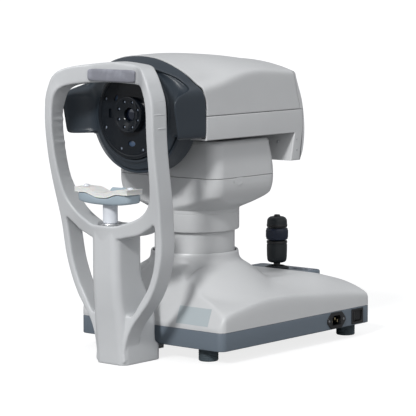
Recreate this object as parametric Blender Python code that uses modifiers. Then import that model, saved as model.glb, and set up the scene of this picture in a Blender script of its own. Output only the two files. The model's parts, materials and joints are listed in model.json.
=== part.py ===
"""Tabletop auto refractor with a chin rest: base, lift column, pod, measuring head and joystick.

Units are metres.  +X is the patient's right-hand side of the view, +Y points from the patient to
the operator and +Z is up.  Lengths along Y are measured from the front face of the base tray, and
one empty moves the finished instrument so that its origin is below the middle of its box.
"""

import math

import bmesh
import bpy
from mathutils import Matrix, Vector

# ---------------------------------------------------------------- driving dimensions
TRAY_FRONT_Y = -0.1325
GAP = 0.0003
WALL = 0.003

TRAY_HALF_X = 0.148
TRAY_DEPTH = 0.382
TRAY_BOTTOM = 0.0217
TRAY_TOP = 0.0506
TRAY_CORNER = 0.012

FOOT_RADIUS = 0.0155
FOOT_PLACES = {
    "foot_front_left": (-0.0957, 0.030),
    "foot_front_right": (0.0957, 0.030),
    "foot_rear_left": (-0.114, 0.3625),
    "foot_rear_right": (0.114, 0.3625),
}

COLUMN_Y = 0.110
COLUMN_RADIUS = 0.0640
COLUMN_TOP = 0.236
COLLAR_TOP = 0.1594
COLLAR_RADIUS = 0.0705
SLEEVE_RADIUS = 0.0712
SLEEVE_BOTTOM = 0.1925
SLEEVE_TOP = 0.227
POD_SEAM = 0.2806
POD_TOP = 0.3385
POD_HALF_X = 0.1042
POD_HALF_Y = 0.0785
POD_Y = 0.1155
POD_CORNER = 0.022
POD_LEAN = 0.0035
POD_OPENING = (0.055, 0.053)
POD_OPENING_Y = 0.113

HEAD_HALF_X = 0.117
HEAD_FLOOR = 0.344
HEAD_BOTTOM = 0.2995
HEAD_SEAM = 0.3812
HEAD_FRONT = 0.0003
NOSE_Z = 0.3813
NOSE_RADIUS = 0.0928
NOSE_FRONT = -0.030
NOSE_BACK = 0.010
PLATE_RADIUS = 0.0690
PLATE_FRONT = -0.0397
LENS_BEZEL_RADIUS = 0.028
LENS_BEZEL_FRONT = -0.050
LENS_RADIUS = 0.0100
BARREL_RADIUS = 0.0335
LED_COUNT = 8
LED_HOLE_RADIUS = 0.0027
INNER_LED_CIRCLE = 0.0208
OUTER_LED_CIRCLE = 0.058

POST_Y = -0.089
POST_RADIUS = 0.0115
MOTOR_Y = -0.065
SADDLE_TOP = 0.216
FRAME_DEPTH = 0.034
BAND_DEPTH = 0.036
BAND_HOLLOW = (0.040, 0.102)
BAND_RISE = (0.395, 0.430)
SADDLE_DEPTH = 0.019
SADDLE_HALF_X = 0.085

STICK_Y = 0.323
STICK_PIVOT_Z = 0.098
SHAFT_RADIUS = 0.0055
PANEL_TOP = 0.1045
PANEL_Y = 0.333
PANEL_HALF_X = 0.064
PANEL_HALF_Y = 0.031
PANEL_THICKNESS = 0.016

INLET_Y = 0.290
INLET_Z = 0.0362
SWITCH_Y = 0.3475
SWITCH_Z = 0.0364

ROUND_STEPS = 24
SMALL_STEPS = 12

# ---------------------------------------------------------------- bodies and their joint points
BODY_POINTS = {
    "base": (0.0, 0.0, 0.0),
    "pod": (0.0, COLUMN_Y, COLUMN_TOP),
    "carriage": (0.0, COLUMN_Y, 0.330),
    "head": (0.0, COLUMN_Y, 0.345),
    "chin": (0.0, POST_Y, SADDLE_TOP),
    "gimbal": (0.0, STICK_Y, STICK_PIVOT_Z),
    "stick": (0.0, STICK_Y, STICK_PIVOT_Z),
    "stick_ring": (0.0, STICK_Y, 0.163),
    "stick_button": (0.0, STICK_Y, 0.190),
    "rocker": (0.1430, SWITCH_Y, SWITCH_Z),
}
KEY_NAMES = ("chin_up_key", "chin_down_key", "print_key")
KEY_FIRST_X = 0.026
KEY_PITCH = 0.013
KEY_Y = 0.345
KEY_SIZE = 0.0095
for key_index, key_name in enumerate(KEY_NAMES):
    BODY_POINTS[key_name] = (KEY_FIRST_X + KEY_PITCH * key_index, KEY_Y, PANEL_TOP)

# ---------------------------------------------------------------- materials
FINISHES = {
    "cover": ((0.60, 0.61, 0.60), 0.45, 0.0),
    "frame": ((0.50, 0.50, 0.50), 0.50, 0.0),
    "slate": ((0.12, 0.15, 0.19), 0.45, 0.0),
    "gloss_black": ((0.006, 0.007, 0.010), 0.12, 0.0),
    "black": ((0.012, 0.013, 0.015), 0.5, 0.0),
    "pad": ((0.24, 0.25, 0.29), 0.6, 0.0),
    "chin_grey": ((0.23, 0.29, 0.35), 0.45, 0.0),
    "paper": ((0.88, 0.88, 0.86), 0.8, 0.0),
    "white": ((0.80, 0.82, 0.85), 0.35, 0.0),
    "charcoal": ((0.030, 0.038, 0.045), 0.55, 0.0),
    "navy": ((0.006, 0.014, 0.050), 0.5, 0.0),
    "rubber": ((0.015, 0.018, 0.022), 0.8, 0.0),
    "steel": ((0.60, 0.60, 0.62), 0.30, 1.0),
    "brass": ((0.75, 0.55, 0.22), 0.30, 1.0),
    "aluminium": ((0.65, 0.66, 0.68), 0.35, 1.0),
    "board": ((0.03, 0.16, 0.07), 0.5, 0.0),
    "glass": ((0.10, 0.16, 0.22), 0.05, 0.0),
    "led": ((0.55, 0.60, 0.66), 0.10, 0.0),
    "screen": ((0.010, 0.014, 0.020), 0.10, 0.0),
}


def clear_scene():
    for existing in list(bpy.data.objects):
        bpy.data.objects.remove(existing, do_unlink=True)


def make_collection(name):
    collection = bpy.data.collections.new(name)
    bpy.context.scene.collection.children.link(collection)
    return collection


def make_materials():
    materials = {}
    for name, (colour, roughness, metallic) in FINISHES.items():
        material = bpy.data.materials.new(name)
        material.use_nodes = True
        shader = material.node_tree.nodes["Principled BSDF"]
        shader.inputs["Base Color"].default_value = (*colour, 1.0)
        shader.inputs["Roughness"].default_value = roughness
        shader.inputs["Metallic"].default_value = metallic
        materials[name] = material
    return materials


def make_body_empties(collection):
    """One empty per moving body, on its joint, under one empty that places the instrument."""
    root = bpy.data.objects.new("instrument_origin", None)
    root.location = (0.0, TRAY_FRONT_Y, 0.0)
    collection.objects.link(root)
    empties = {}
    for body, point in BODY_POINTS.items():
        empty = bpy.data.objects.new(f"{body}_axis", None)
        empty.parent = root
        empty.location = point
        collection.objects.link(empty)
        empties[body] = empty
    return empties


clear_scene()
PARTS = make_collection("auto_refractor")
CUTTERS = make_collection("cutters")
MATERIALS = make_materials()
EMPTIES = make_body_empties(PARTS)


# ---------------------------------------------------------------- general helpers
def add(name, mesh, finish, body, place=(0.0, 0.0, 0.0), smooth=True):
    """Link a mesh as a named part.  place is where its local origin lies, from the tray front."""
    part = bpy.data.objects.new(name, mesh)
    part.parent = EMPTIES[body]
    part.location = Vector(place) - Vector(BODY_POINTS[body])
    mesh.materials.append(MATERIALS[finish])
    if smooth:
        mesh.shade_smooth()
        mesh.set_sharp_from_angle(angle=math.radians(35.0))
    PARTS.objects.link(part)
    return part


def add_cutter(name, mesh, body, place=(0.0, 0.0, 0.0), turn=(0.0, 0.0, 0.0)):
    cutter = bpy.data.objects.new(name, mesh)
    cutter.parent = EMPTIES[body]
    cutter.location = Vector(place) - Vector(BODY_POINTS[body])
    cutter.rotation_euler = turn
    cutter.hide_render = True
    cutter.display_type = "WIRE"
    CUTTERS.objects.link(cutter)
    return cutter


def boolean(part, other, operation="DIFFERENCE"):
    modifier = part.modifiers.new(f"{operation.lower()}_{other.name}", "BOOLEAN")
    modifier.operation = operation
    modifier.solver = "EXACT"
    modifier.object = other


def solidify(part, thickness):
    modifier = part.modifiers.new("wall", "SOLIDIFY")
    modifier.thickness = thickness
    modifier.offset = -1.0
    modifier.use_even_offset = True


def bevel(part, width, segments=2):
    modifier = part.modifiers.new("rounded_edges", "BEVEL")
    modifier.width = width
    modifier.segments = segments
    modifier.limit_method = "ANGLE"
    modifier.angle_limit = math.radians(40.0)


def mesh_from_bmesh(name, shape):
    mesh = bpy.data.meshes.new(name)
    bmesh.ops.recalc_face_normals(shape, faces=shape.faces)
    shape.to_mesh(mesh)
    shape.free()
    return mesh


def box_mesh(name, size):
    shape = bmesh.new()
    bmesh.ops.create_cube(shape, size=1.0)
    bmesh.ops.scale(shape, vec=Vector(size), verts=shape.verts)
    return mesh_from_bmesh(name, shape)


def cylinder_mesh(name, radius, depth, axis="Z", steps=ROUND_STEPS, top_radius=None):
    shape = bmesh.new()
    end_radius = radius if top_radius is None else top_radius
    bmesh.ops.create_cone(
        shape, cap_ends=True, segments=steps, radius1=radius, radius2=end_radius, depth=depth
    )
    quarter = math.pi / 2
    turns = {"Z": Matrix(), "Y": Matrix.Rotation(quarter, 4, "X"), "X": Matrix.Rotation(quarter, 4, "Y")}
    bmesh.ops.transform(shape, matrix=turns[axis], verts=shape.verts)
    return mesh_from_bmesh(name, shape)


def add_box(name, low, high, finish, body, edge=0.0):
    low, high = Vector(low), Vector(high)
    part = add(name, box_mesh(name, high - low), finish, body, (low + high) / 2, smooth=edge > 0.0)
    if edge > 0.0:
        bevel(part, edge)
    return part


def cut_box(part, name, low, high, body):
    low, high = Vector(low), Vector(high)
    boolean(part, add_cutter(name, box_mesh(name, high - low), body, (low + high) / 2))


def cut_round(part, name, radius, low, high, body, axis="Z", steps=ROUND_STEPS):
    """Cut a round hole along axis, from point low to point high."""
    low, high = Vector(low), Vector(high)
    depth = (high - low).length
    mesh = cylinder_mesh(name, radius, depth, axis, steps)
    boolean(part, add_cutter(name, mesh, body, (low + high) / 2))


def turned(name, profile, finish, body, place, axis="Z", steps=ROUND_STEPS):
    """A turned piece: profile lists (radius, height) down the outside, then up the bore, if any."""
    shape = bmesh.new()
    points = [shape.verts.new((radius, 0.0, height)) for radius, height in profile]
    for first, second in zip(points, points[1:]):
        shape.edges.new((first, second))
    if profile[0][0] > 0.0:
        shape.edges.new((points[-1], points[0]))
    mesh = bpy.data.meshes.new(name)
    shape.to_mesh(mesh)
    shape.free()
    part = add(name, mesh, finish, body, place)
    if axis == "Y":
        part.rotation_euler = (math.pi / 2, 0.0, 0.0)
    screw = part.modifiers.new("turn", "SCREW")
    screw.axis = "Z"
    screw.steps = steps
    screw.render_steps = steps
    screw.use_merge_vertices = True
    screw.merge_threshold = 0.00001
    screw.use_smooth_shade = True
    return part


def rounded_rectangle(half_x, half_y, radius, centre=(0.0, 0.0), corner_steps=5, side_steps=1):
    """Points anticlockwise round a rectangle with round corners, with side_steps cuts per side."""
    signs = ((1, 1), (-1, 1), (-1, -1), (1, -1))
    points = []
    for corner, (sign_x, sign_y) in enumerate(signs):
        for step in range(corner_steps + 1):
            angle = math.pi / 2 * (corner + step / corner_steps)
            x = centre[0] + sign_x * (half_x - radius) + radius * math.cos(angle)
            y = centre[1] + sign_y * (half_y - radius) + radius * math.sin(angle)
            points.append(Vector((x, y)))
    result = []
    for index, point in enumerate(points):
        result.append(point)
        following = points[(index + 1) % len(points)]
        if (index + 1) % (corner_steps + 1) == 0:
            for cut in range(1, side_steps):
                result.append(point.lerp(following, cut / side_steps))
    return result


def loft_mesh(name, rings, wrap=False, caps=False):
    """Skin closed rings of equal length.  wrap joins the last ring to the first."""
    shape = bmesh.new()
    rows = [[shape.verts.new(point) for point in ring] for ring in rings]
    pairs = list(zip(rows, rows[1:]))
    if wrap:
        pairs.append((rows[-1], rows[0]))
    for lower, upper in pairs:
        count = len(lower)
        for index in range(count):
            following = (index + 1) % count
            shape.faces.new((lower[index], lower[following], upper[following], upper[index]))
    if caps:
        shape.faces.new(rows[0])
        shape.faces.new(rows[-1])
    return mesh_from_bmesh(name, shape)


def strip_mesh(name, rows_of_points):
    """An open sheet through rows of equal length."""
    shape = bmesh.new()
    rows = [[shape.verts.new(point) for point in row] for row in rows_of_points]
    for lower, upper in zip(rows, rows[1:]):
        for index in range(len(lower) - 1):
            shape.faces.new((lower[index], lower[index + 1], upper[index + 1], upper[index]))
    return mesh_from_bmesh(name, shape)


PLANE_TURNS = {
    "XY": Matrix(),
    "XZ": Matrix.Rotation(math.pi / 2, 4, "X"),
    "YZ": Matrix(((0, 0, 1, 0), (1, 0, 0, 0), (0, 1, 0, 0), (0, 0, 0, 1))),
}


def slab_mesh(name, outlines, thickness, plane="XY", edge=0.0, edge_steps=1):
    """A flat plate from 2D outlines, the first the edge and the others holes, with round edges."""
    curve = bpy.data.curves.new(name, "CURVE")
    curve.dimensions = "2D"
    curve.fill_mode = "BOTH"
    curve.extrude = thickness / 2 - edge
    curve.bevel_depth = edge
    curve.bevel_resolution = edge_steps
    curve.offset = -edge
    for outline in outlines:
        spline = curve.splines.new("POLY")
        spline.points.add(len(outline) - 1)
        for point, (first, second) in zip(spline.points, outline):
            point.co = (first, second, 0.0, 1.0)
        spline.use_cyclic_u = True
    guide = bpy.data.objects.new(name, curve)
    CUTTERS.objects.link(guide)
    bpy.context.view_layer.update()
    evaluated = guide.evaluated_get(bpy.context.evaluated_depsgraph_get())
    flat = bpy.data.meshes.new_from_object(evaluated)
    bpy.data.objects.remove(guide, do_unlink=True)
    shape = bmesh.new()
    shape.from_mesh(flat)
    bpy.data.meshes.remove(flat)
    bmesh.ops.remove_doubles(shape, verts=shape.verts, dist=0.00001)
    bmesh.ops.transform(shape, matrix=PLANE_TURNS[plane], verts=shape.verts)
    return mesh_from_bmesh(name, shape)


def mirrored(half):
    """A closed outline from its right half, listed from the bottom of the middle line to the top."""
    left = [(-x, z) for x, z in reversed(half) if x > 0.0]
    return list(half) + left


def smooth_step(value, low, high):
    part = min(max((value - low) / (high - low), 0.0), 1.0)
    return part * part * (3.0 - 2.0 * part)


def soft_min(values, blend):
    """The least of some heights, rounded where they cross."""
    least = min(values)
    return least - blend * math.log(sum(math.exp((least - value) / blend) for value in values))


def interpolate(points, value):
    """Straight interpolation through (place, height) pairs."""
    for (low, first), (high, second) in zip(points, points[1:]):
        if value <= high:
            part = min(max((value - low) / (high - low), 0.0), 1.0)
            return first + (second - first) * part
    return points[-1][1]


# ---------------------------------------------------------------- base
ROCKER_REST = 6.0
FRONT_SILL = 0.0560
FRONT_RISE = 2.45
REAR_SILL = 0.076
REAR_RISE = 1.6
SHOULDER_WIDTH = 0.062
COVER_BLEND = 0.0025
DECK_PLACES = (
    (0.0, 0.1000), (0.020, 0.1010), (0.060, 0.1035), (0.100, 0.1075), (0.150, 0.1100), (0.285, 0.1100),
    (0.310, 0.1065), (0.330, 0.1015), (0.364, 0.0925), (0.382, 0.0860),
)
CREASE_PLACES = (
    (0.0, 0.0660), (0.0109, 0.0734), (0.0253, 0.0782), (0.0567, 0.0837), (0.0992, 0.0894), (0.145, 0.0900),
    (0.1827, 0.0884), (0.220, 0.0840), (0.260, 0.0800), (0.300, 0.0770), (0.340, 0.0740), (0.382, 0.0700),
)
FLARE = (
    (0.0705, 0.1488), (0.0731, 0.1436), (0.0904, 0.1323), (0.100, 0.1250), (0.112, 0.1150), (0.125, 0.1030),
    (0.140, 0.0880), (0.165, 0.0600), (0.220, 0.0300), (0.400, 0.0),
)
VALLEY_X = 0.045
VALLEY_DEPTH = 0.006
VALLEY_WIDTH = 0.012


def base_cover_height(x, y):
    """Top surface of the base cover."""
    deck = interpolate(DECK_PLACES, y)
    crease = interpolate(CREASE_PLACES, y)
    fullness = 1.3 + smooth_step(y, 0.18, 0.28)
    inset = min((TRAY_HALF_X - abs(x)) / SHOULDER_WIDTH, 1.0)
    side = crease + (deck - crease) * (1.0 - (1.0 - inset) ** fullness)
    rear = REAR_SILL + (TRAY_DEPTH - y) * REAR_RISE
    top = soft_min((side, rear), COVER_BLEND)
    flare = interpolate(FLARE, math.hypot(x, y - COLUMN_Y))
    body = -soft_min((-top, -flare), COVER_BLEND)
    valley = VALLEY_DEPTH * math.exp(-(((abs(x) - VALLEY_X) / VALLEY_WIDTH) ** 2))
    body -= valley * smooth_step(y, 0.0, 0.010) * (1.0 - smooth_step(y, 0.040, 0.090))
    return soft_min((body, FRONT_SILL + FRONT_RISE * y), COVER_BLEND)


def base_outline(side_steps):
    centre = (0.0, TRAY_DEPTH / 2)
    return rounded_rectangle(TRAY_HALF_X, TRAY_DEPTH / 2, TRAY_CORNER, centre, 3, side_steps)


def make_tray():
    centre = (0.0, TRAY_DEPTH / 2)
    outline = base_outline(1)
    mesh = slab_mesh("base_tray", [outline], TRAY_TOP - TRAY_BOTTOM, edge=0.0015)
    tray = add("base_tray", mesh, "slate", "base", (0.0, 0.0, (TRAY_TOP + TRAY_BOTTOM) / 2))
    inner = rounded_rectangle(TRAY_HALF_X - WALL, TRAY_DEPTH / 2 - WALL, TRAY_CORNER - WALL, centre, 3)
    pocket = slab_mesh("tray_pocket", [inner], 0.04)
    boolean(tray, add_cutter("tray_pocket", pocket, "base", (0.0, 0.0, TRAY_BOTTOM + WALL + 0.02)))
    holes = (("inlet_hole", INLET_Y, INLET_Z, 0.0105), ("switch_hole", SWITCH_Y, SWITCH_Z, 0.0103))
    for name, y, z, half_z in holes:
        cut_box(tray, name, (0.14, y - 0.0135, z - half_z), (0.16, y + 0.0135, z + half_z), "base")


def make_feet():
    height = TRAY_BOTTOM - GAP
    edge = 0.0015
    sole = FOOT_RADIUS - edge
    profile = ((0.0, height), (FOOT_RADIUS, height), (FOOT_RADIUS, edge), (sole, 0.0), (0.0, 0.0))
    for name, (x, y) in FOOT_PLACES.items():
        turned(name, profile, "rubber", "base", (x, y, 0.0), steps=20)


def cover_ring(fraction, outline, centre, inner_radius):
    ring = []
    for point in outline:
        ray = point - centre
        length = ray.length
        radius = inner_radius + (length - inner_radius) * fraction
        spot = centre + ray * (radius / length)
        ring.append(Vector((spot.x, spot.y, base_cover_height(spot.x, spot.y))))
    return ring


def make_base_cover():
    centre = Vector((0.0, COLUMN_Y))
    outline = base_outline(8)
    rings = [[Vector((point.x, point.y, TRAY_TOP + GAP)) for point in outline]]
    for fraction in (0.992, 0.955, 0.91, 0.84, 0.74, 0.60, 0.44, 0.28, 0.14, 0.05):
        rings.append(cover_ring(fraction, outline, centre, COLLAR_RADIUS))
    for radius, height in ((COLLAR_RADIUS, COLLAR_TOP - 0.0014), (COLLAR_RADIUS - 0.0012, COLLAR_TOP)):
        rings.append([
            Vector((*(centre + (point - centre).normalized() * radius), height)) for point in outline
        ])
    cover = add("base_cover", loft_mesh("base_cover", rings), "cover", "base")
    solidify(cover, 0.0025)
    hole = slab_mesh("console_hole", [console_outline(GAP + 0.0004)], 0.05)
    boolean(cover, add_cutter("console_hole", hole, "base", (0.0, 0.0, PANEL_TOP)))


def console_outline(extra):
    centre = (0.0, PANEL_Y)
    return rounded_rectangle(PANEL_HALF_X + extra, PANEL_HALF_Y + extra, 0.010 + extra, centre, 3)


def make_console():
    mesh = slab_mesh("console_panel", [console_outline(0.0)], PANEL_THICKNESS, edge=0.001)
    panel = add("console_panel", mesh, "slate", "base", (0.0, 0.0, PANEL_TOP - PANEL_THICKNESS / 2))
    cut_round(panel, "boot_hole", 0.0150, (0.0, STICK_Y, 0.08), (0.0, STICK_Y, 0.12), "base")
    for name in KEY_NAMES:
        x = BODY_POINTS[name][0]
        reach = KEY_SIZE / 2 + GAP
        hole = ((x - reach, KEY_Y - reach, 0.08), (x + reach, KEY_Y + reach, 0.12))
        cut_box(panel, f"{name}_hole", *hole, "base")
        low = (x - KEY_SIZE / 2, KEY_Y - KEY_SIZE / 2, PANEL_TOP - 0.008)
        high = (x + KEY_SIZE / 2, KEY_Y + KEY_SIZE / 2, PANEL_TOP + 0.0018)
        add_box(name, low, high, "pad", name, 0.0008)


SOCKET_FLOOR_X = 0.1285
INLET_PINS = (
    ("inlet_pin_left", -0.007, -0.002), ("inlet_pin_right", 0.007, -0.002), ("inlet_pin_earth", 0.0, 0.002),
)


def make_inlet():
    """Appliance inlet with a lozenge flange, and its three pins inside the socket."""
    half = ((0.014, -0.0135), (0.0245, -0.005), (0.0245, 0.005), (0.014, 0.0135))
    flange = [*half, *((-y, -z) for y, z in half)]
    mesh = slab_mesh("power_inlet", [flange], 0.0014, "YZ")
    inlet = add("power_inlet", mesh, "black", "base", (TRAY_HALF_X + GAP + 0.0007, INLET_Y, INLET_Z))
    body = box_mesh("inlet_body", (0.024, 0.026, 0.020))
    boolean(inlet, add_cutter("inlet_body", body, "base", (0.1370, INLET_Y, INLET_Z)), "UNION")
    low = (SOCKET_FLOOR_X, INLET_Y - 0.0115, INLET_Z - 0.0080)
    cut_box(inlet, "inlet_socket", low, (0.16, INLET_Y + 0.0115, INLET_Z + 0.0080), "base")
    for name, offset_y, offset_z in INLET_PINS:
        low = (SOCKET_FLOOR_X + GAP, INLET_Y + offset_y - 0.001, INLET_Z + offset_z - 0.002)
        high = (0.1455, INLET_Y + offset_y + 0.001, INLET_Z + offset_z + 0.002)
        add_box(name, low, high, "brass", "base")


def make_switch():
    low = (0.1335, SWITCH_Y - 0.0132, SWITCH_Z - 0.010)
    bezel = add_box("switch_bezel", low, (0.1455, SWITCH_Y + 0.0132, SWITCH_Z + 0.010), "black", "base")
    rim = box_mesh("switch_rim", (0.0014, 0.031, 0.025))
    rim_place = (TRAY_HALF_X + GAP + 0.0007, SWITCH_Y, SWITCH_Z)
    boolean(bezel, add_cutter("switch_rim", rim, "base", rim_place), "UNION")
    neck = box_mesh("switch_neck", (0.006, 0.0264, 0.020))
    boolean(bezel, add_cutter("switch_neck", neck, "base", (0.1460, SWITCH_Y, SWITCH_Z)), "UNION")
    low = (0.1365, SWITCH_Y - 0.0122, SWITCH_Z - 0.0088)
    cut_box(bezel, "switch_well", low, (0.16, SWITCH_Y + 0.0122, SWITCH_Z + 0.0088), "base")
    slope = 0.0022
    outline = (
        (-0.0035, -0.0112), (0.0035 + slope, -0.0112), (0.0035, 0.0), (0.0035 + slope, 0.0112),
        (-0.0035, 0.0112),
    )
    mesh = slab_mesh("switch_rocker", [outline], 0.0168)
    rocker = add("switch_rocker", mesh, "black", "rocker", BODY_POINTS["rocker"], smooth=False)
    rocker.rotation_euler = (0.0, 0.0, math.radians(ROCKER_REST))


def make_base_contents():
    flange = TRAY_BOTTOM + WALL + GAP
    add_box("power_supply", (0.030, 0.225, flange), (0.118, 0.372, 0.060), "aluminium", "base", 0.001)
    add_box("main_board", (-0.125, 0.215, 0.0330), (0.018, 0.365, 0.0348), "board", "base")
    outer, inner = COLUMN_RADIUS, COLUMN_RADIUS - 0.0045
    profile = (
        (outer, COLUMN_TOP), (outer, flange + 0.004), (0.078, flange + 0.004), (0.078, flange),
        (inner, flange), (inner, COLUMN_TOP),
    )
    turned("lift_column", profile, "cover", "base", (0.0, COLUMN_Y, 0.0), steps=40)
    shell = ((0.034, 0.195), (0.034, flange), (0.0, flange), (0.0, 0.075), (0.0205, 0.075), (0.0205, 0.195))
    cup_turned("lift_actuator", shell, "aluminium", "base", (0.0, COLUMN_Y, 0.0))


def cup_turned(name, profile, finish, body, place, axis="Z", steps=ROUND_STEPS):
    """A turned cup: its profile leaves the axis and comes back to it, and runs round the rim."""
    start = next(index for index, point in enumerate(profile) if point[0] == 0.0)
    ordered = list(profile[start + 1:]) + list(profile[:start + 1])
    shape = bmesh.new()
    points = [shape.verts.new((radius, 0.0, height)) for radius, height in ordered]
    for first, second in zip(points, points[1:]):
        shape.edges.new((first, second))
    mesh = bpy.data.meshes.new(name)
    shape.to_mesh(mesh)
    shape.free()
    part = add(name, mesh, finish, body, place)
    screw = part.modifiers.new("turn", "SCREW")
    screw.steps = steps
    screw.render_steps = steps
    screw.use_merge_vertices = True
    screw.merge_threshold = 0.00001
    if axis == "Y":
        part.rotation_euler = (math.pi / 2, 0.0, 0.0)
    return part


# ---------------------------------------------------------------- joystick
def make_joystick():
    place = (0.0, STICK_Y, 0.0)
    boot_top = 0.1100
    boot = (
        (0.0130, boot_top), (0.0180, 0.1084), (0.0202, 0.1062), (0.0202, PANEL_TOP + GAP),
        (0.0106, PANEL_TOP + GAP), (0.0106, boot_top),
    )
    turned("joystick_boot", boot, "rubber", "base", place)
    gimbal = ((0.0135, 0.1010), (0.0135, 0.0950), (0.0080, 0.0950), (0.0080, 0.1010))
    turned("joystick_gimbal", gimbal, "steel", "gimbal", place, steps=SMALL_STEPS)
    shaft = ((0.0, 0.1725), (SHAFT_RADIUS, 0.1725), (SHAFT_RADIUS, 0.0850), (0.0, 0.0850))
    turned("joystick_shaft", shaft, "black", "stick", place, steps=SMALL_STEPS)
    grip = (
        (0.0155, 0.1520), (0.0168, 0.1500), (0.0170, 0.1350), (0.0164, 0.1220), (0.0150, 0.1175),
        (0.0105, 0.1150), (SHAFT_RADIUS + GAP, 0.1150), (SHAFT_RADIUS + GAP, 0.1520),
    )
    turned("joystick_grip", grip, "charcoal", "stick", place)
    ring = (
        (0.0172, 0.1728), (0.0187, 0.1712), (0.0187, 0.1552), (0.0172, 0.1536),
        (SHAFT_RADIUS + GAP, 0.1536), (SHAFT_RADIUS + GAP, 0.1728),
    )
    turned("joystick_ring", ring, "navy", "stick_ring", place)
    cap = (
        (0.0065, 0.1918), (0.0120, 0.1905), (0.0155, 0.1870), (0.0168, 0.1810), (0.0168, 0.1745),
        (0.0, 0.1745), (0.0, 0.1845), (0.0057, 0.1845), (0.0057, 0.1918),
    )
    cup_turned("joystick_cap", cap, "charcoal", "stick", place)
    button = ((0.0, 0.1955), (0.0035, 0.1952), (0.0052, 0.1935), (0.0052, 0.1868), (0.0, 0.1868))
    turned("joystick_button", button, "black", "stick_button", place, steps=SMALL_STEPS)


# ---------------------------------------------------------------- chin rest
FRAME_OUTER = (
    (0.0, 0.004), (0.0285, 0.004), (0.0290, 0.020), (0.0330, 0.040), (0.0415, 0.060), (0.0562, 0.080),
    (0.0718, 0.100), (0.0830, 0.120), (0.0910, 0.140), (0.0966, 0.160), (0.1000, 0.180), (0.1032, 0.220),
    (0.1073, 0.260), (0.1096, 0.300), (0.1109, 0.350), (0.1112, 0.376), (0.1104, 0.400), (0.1078, 0.4140),
    (0.1030, 0.4268), (0.0975, 0.4380), (0.0895, 0.4470), (0.0790, 0.4527), (0.0650, 0.4565), (0.0470, 0.4590),
    (0.0240, 0.4615), (0.0, 0.4630),
)
FRAME_WINDOW = (
    (0.0, 0.216), (0.0225, 0.2160), (0.0380, 0.2205), (0.0560, 0.2270), (0.0690, 0.2350), (0.0790, 0.2450),
    (0.0860, 0.2570), (0.0905, 0.2750), (0.0935, 0.3000), (0.0955, 0.3320), (0.0962, 0.3760), (0.0950, 0.4000),
    (0.0925, 0.4100), (0.0885, 0.4175), (0.0825, 0.4230), (0.0740, 0.4265), (0.0590, 0.4290), (0.0350, 0.4308),
    (0.0, 0.4320),
)
FRAME_SLOT = (
    (0.0250, 0.0830), (0.0330, 0.0780), (0.0413, 0.0785), (0.0562, 0.1000), (0.0694, 0.1200), (0.0782, 0.1400),
    (0.0841, 0.1600), (0.0872, 0.1800), (0.0892, 0.2000), (0.0904, 0.2160), (0.0888, 0.2205), (0.0830, 0.2165),
    (0.0730, 0.2105), (0.0630, 0.2045), (0.0530, 0.2012), (0.0420, 0.1990), (0.0330, 0.1965), (0.0250, 0.1940),
)
FRAME_FRONTS = (
    (0.0, -0.0920), (0.040, -0.0912), (0.080, -0.0872), (0.120, -0.0853), (0.160, -0.0862), (0.200, -0.0891),
    (0.240, -0.0959), (0.290, -0.1068), (0.320, -0.1124), (0.350, -0.1163), (0.376, -0.1177), (0.470, -0.1177),
)
COLUMN_RINGS = (
    (0.0, -0.0932, -0.0042, 0.0305), (0.024, -0.0950, -0.0052, 0.0305), (0.030, -0.0955, -0.0130, 0.0305),
    (0.072, -0.1000, -0.0145, 0.0300), (0.090, -0.1025, -0.0205, 0.0285), (0.125, -0.1060, -0.0380, 0.0278),
    (0.140, -0.1068, -0.0425, 0.0275), (0.190, -0.1072, -0.0430, 0.0272), (0.2145, -0.1072, -0.0440, 0.0272),
)
COLUMN_CORNER = 0.011
POST_BORE_BOTTOM = 0.118
MOTOR_BORE_RADIUS = 0.0172
MOTOR_BORE_TOP = 0.107


def frame_front(x, z):
    """Front face of the frame: it leans back below, bows out at the saddle and is hollow at the band."""
    hollow = BAND_DEPTH * (1.0 - smooth_step(abs(x), *BAND_HOLLOW)) * smooth_step(z, *BAND_RISE)
    bow = SADDLE_DEPTH * (1.0 - smooth_step(abs(x), 0.0, SADDLE_HALF_X))
    bow *= smooth_step(z, 0.165, 0.195) * (1.0 - smooth_step(z, 0.250, 0.300))
    return interpolate(FRAME_FRONTS, z) + hollow - bow


def bisect_grid(shape, normal, places):
    """Cut edges into the faces, so that they can be bent."""
    for place in places:
        geometry = shape.verts[:] + shape.edges[:] + shape.faces[:]
        point = Vector(normal) * place
        bmesh.ops.bisect_plane(shape, geom=geometry, plane_co=point, plane_no=normal, dist=0.000001)


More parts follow.
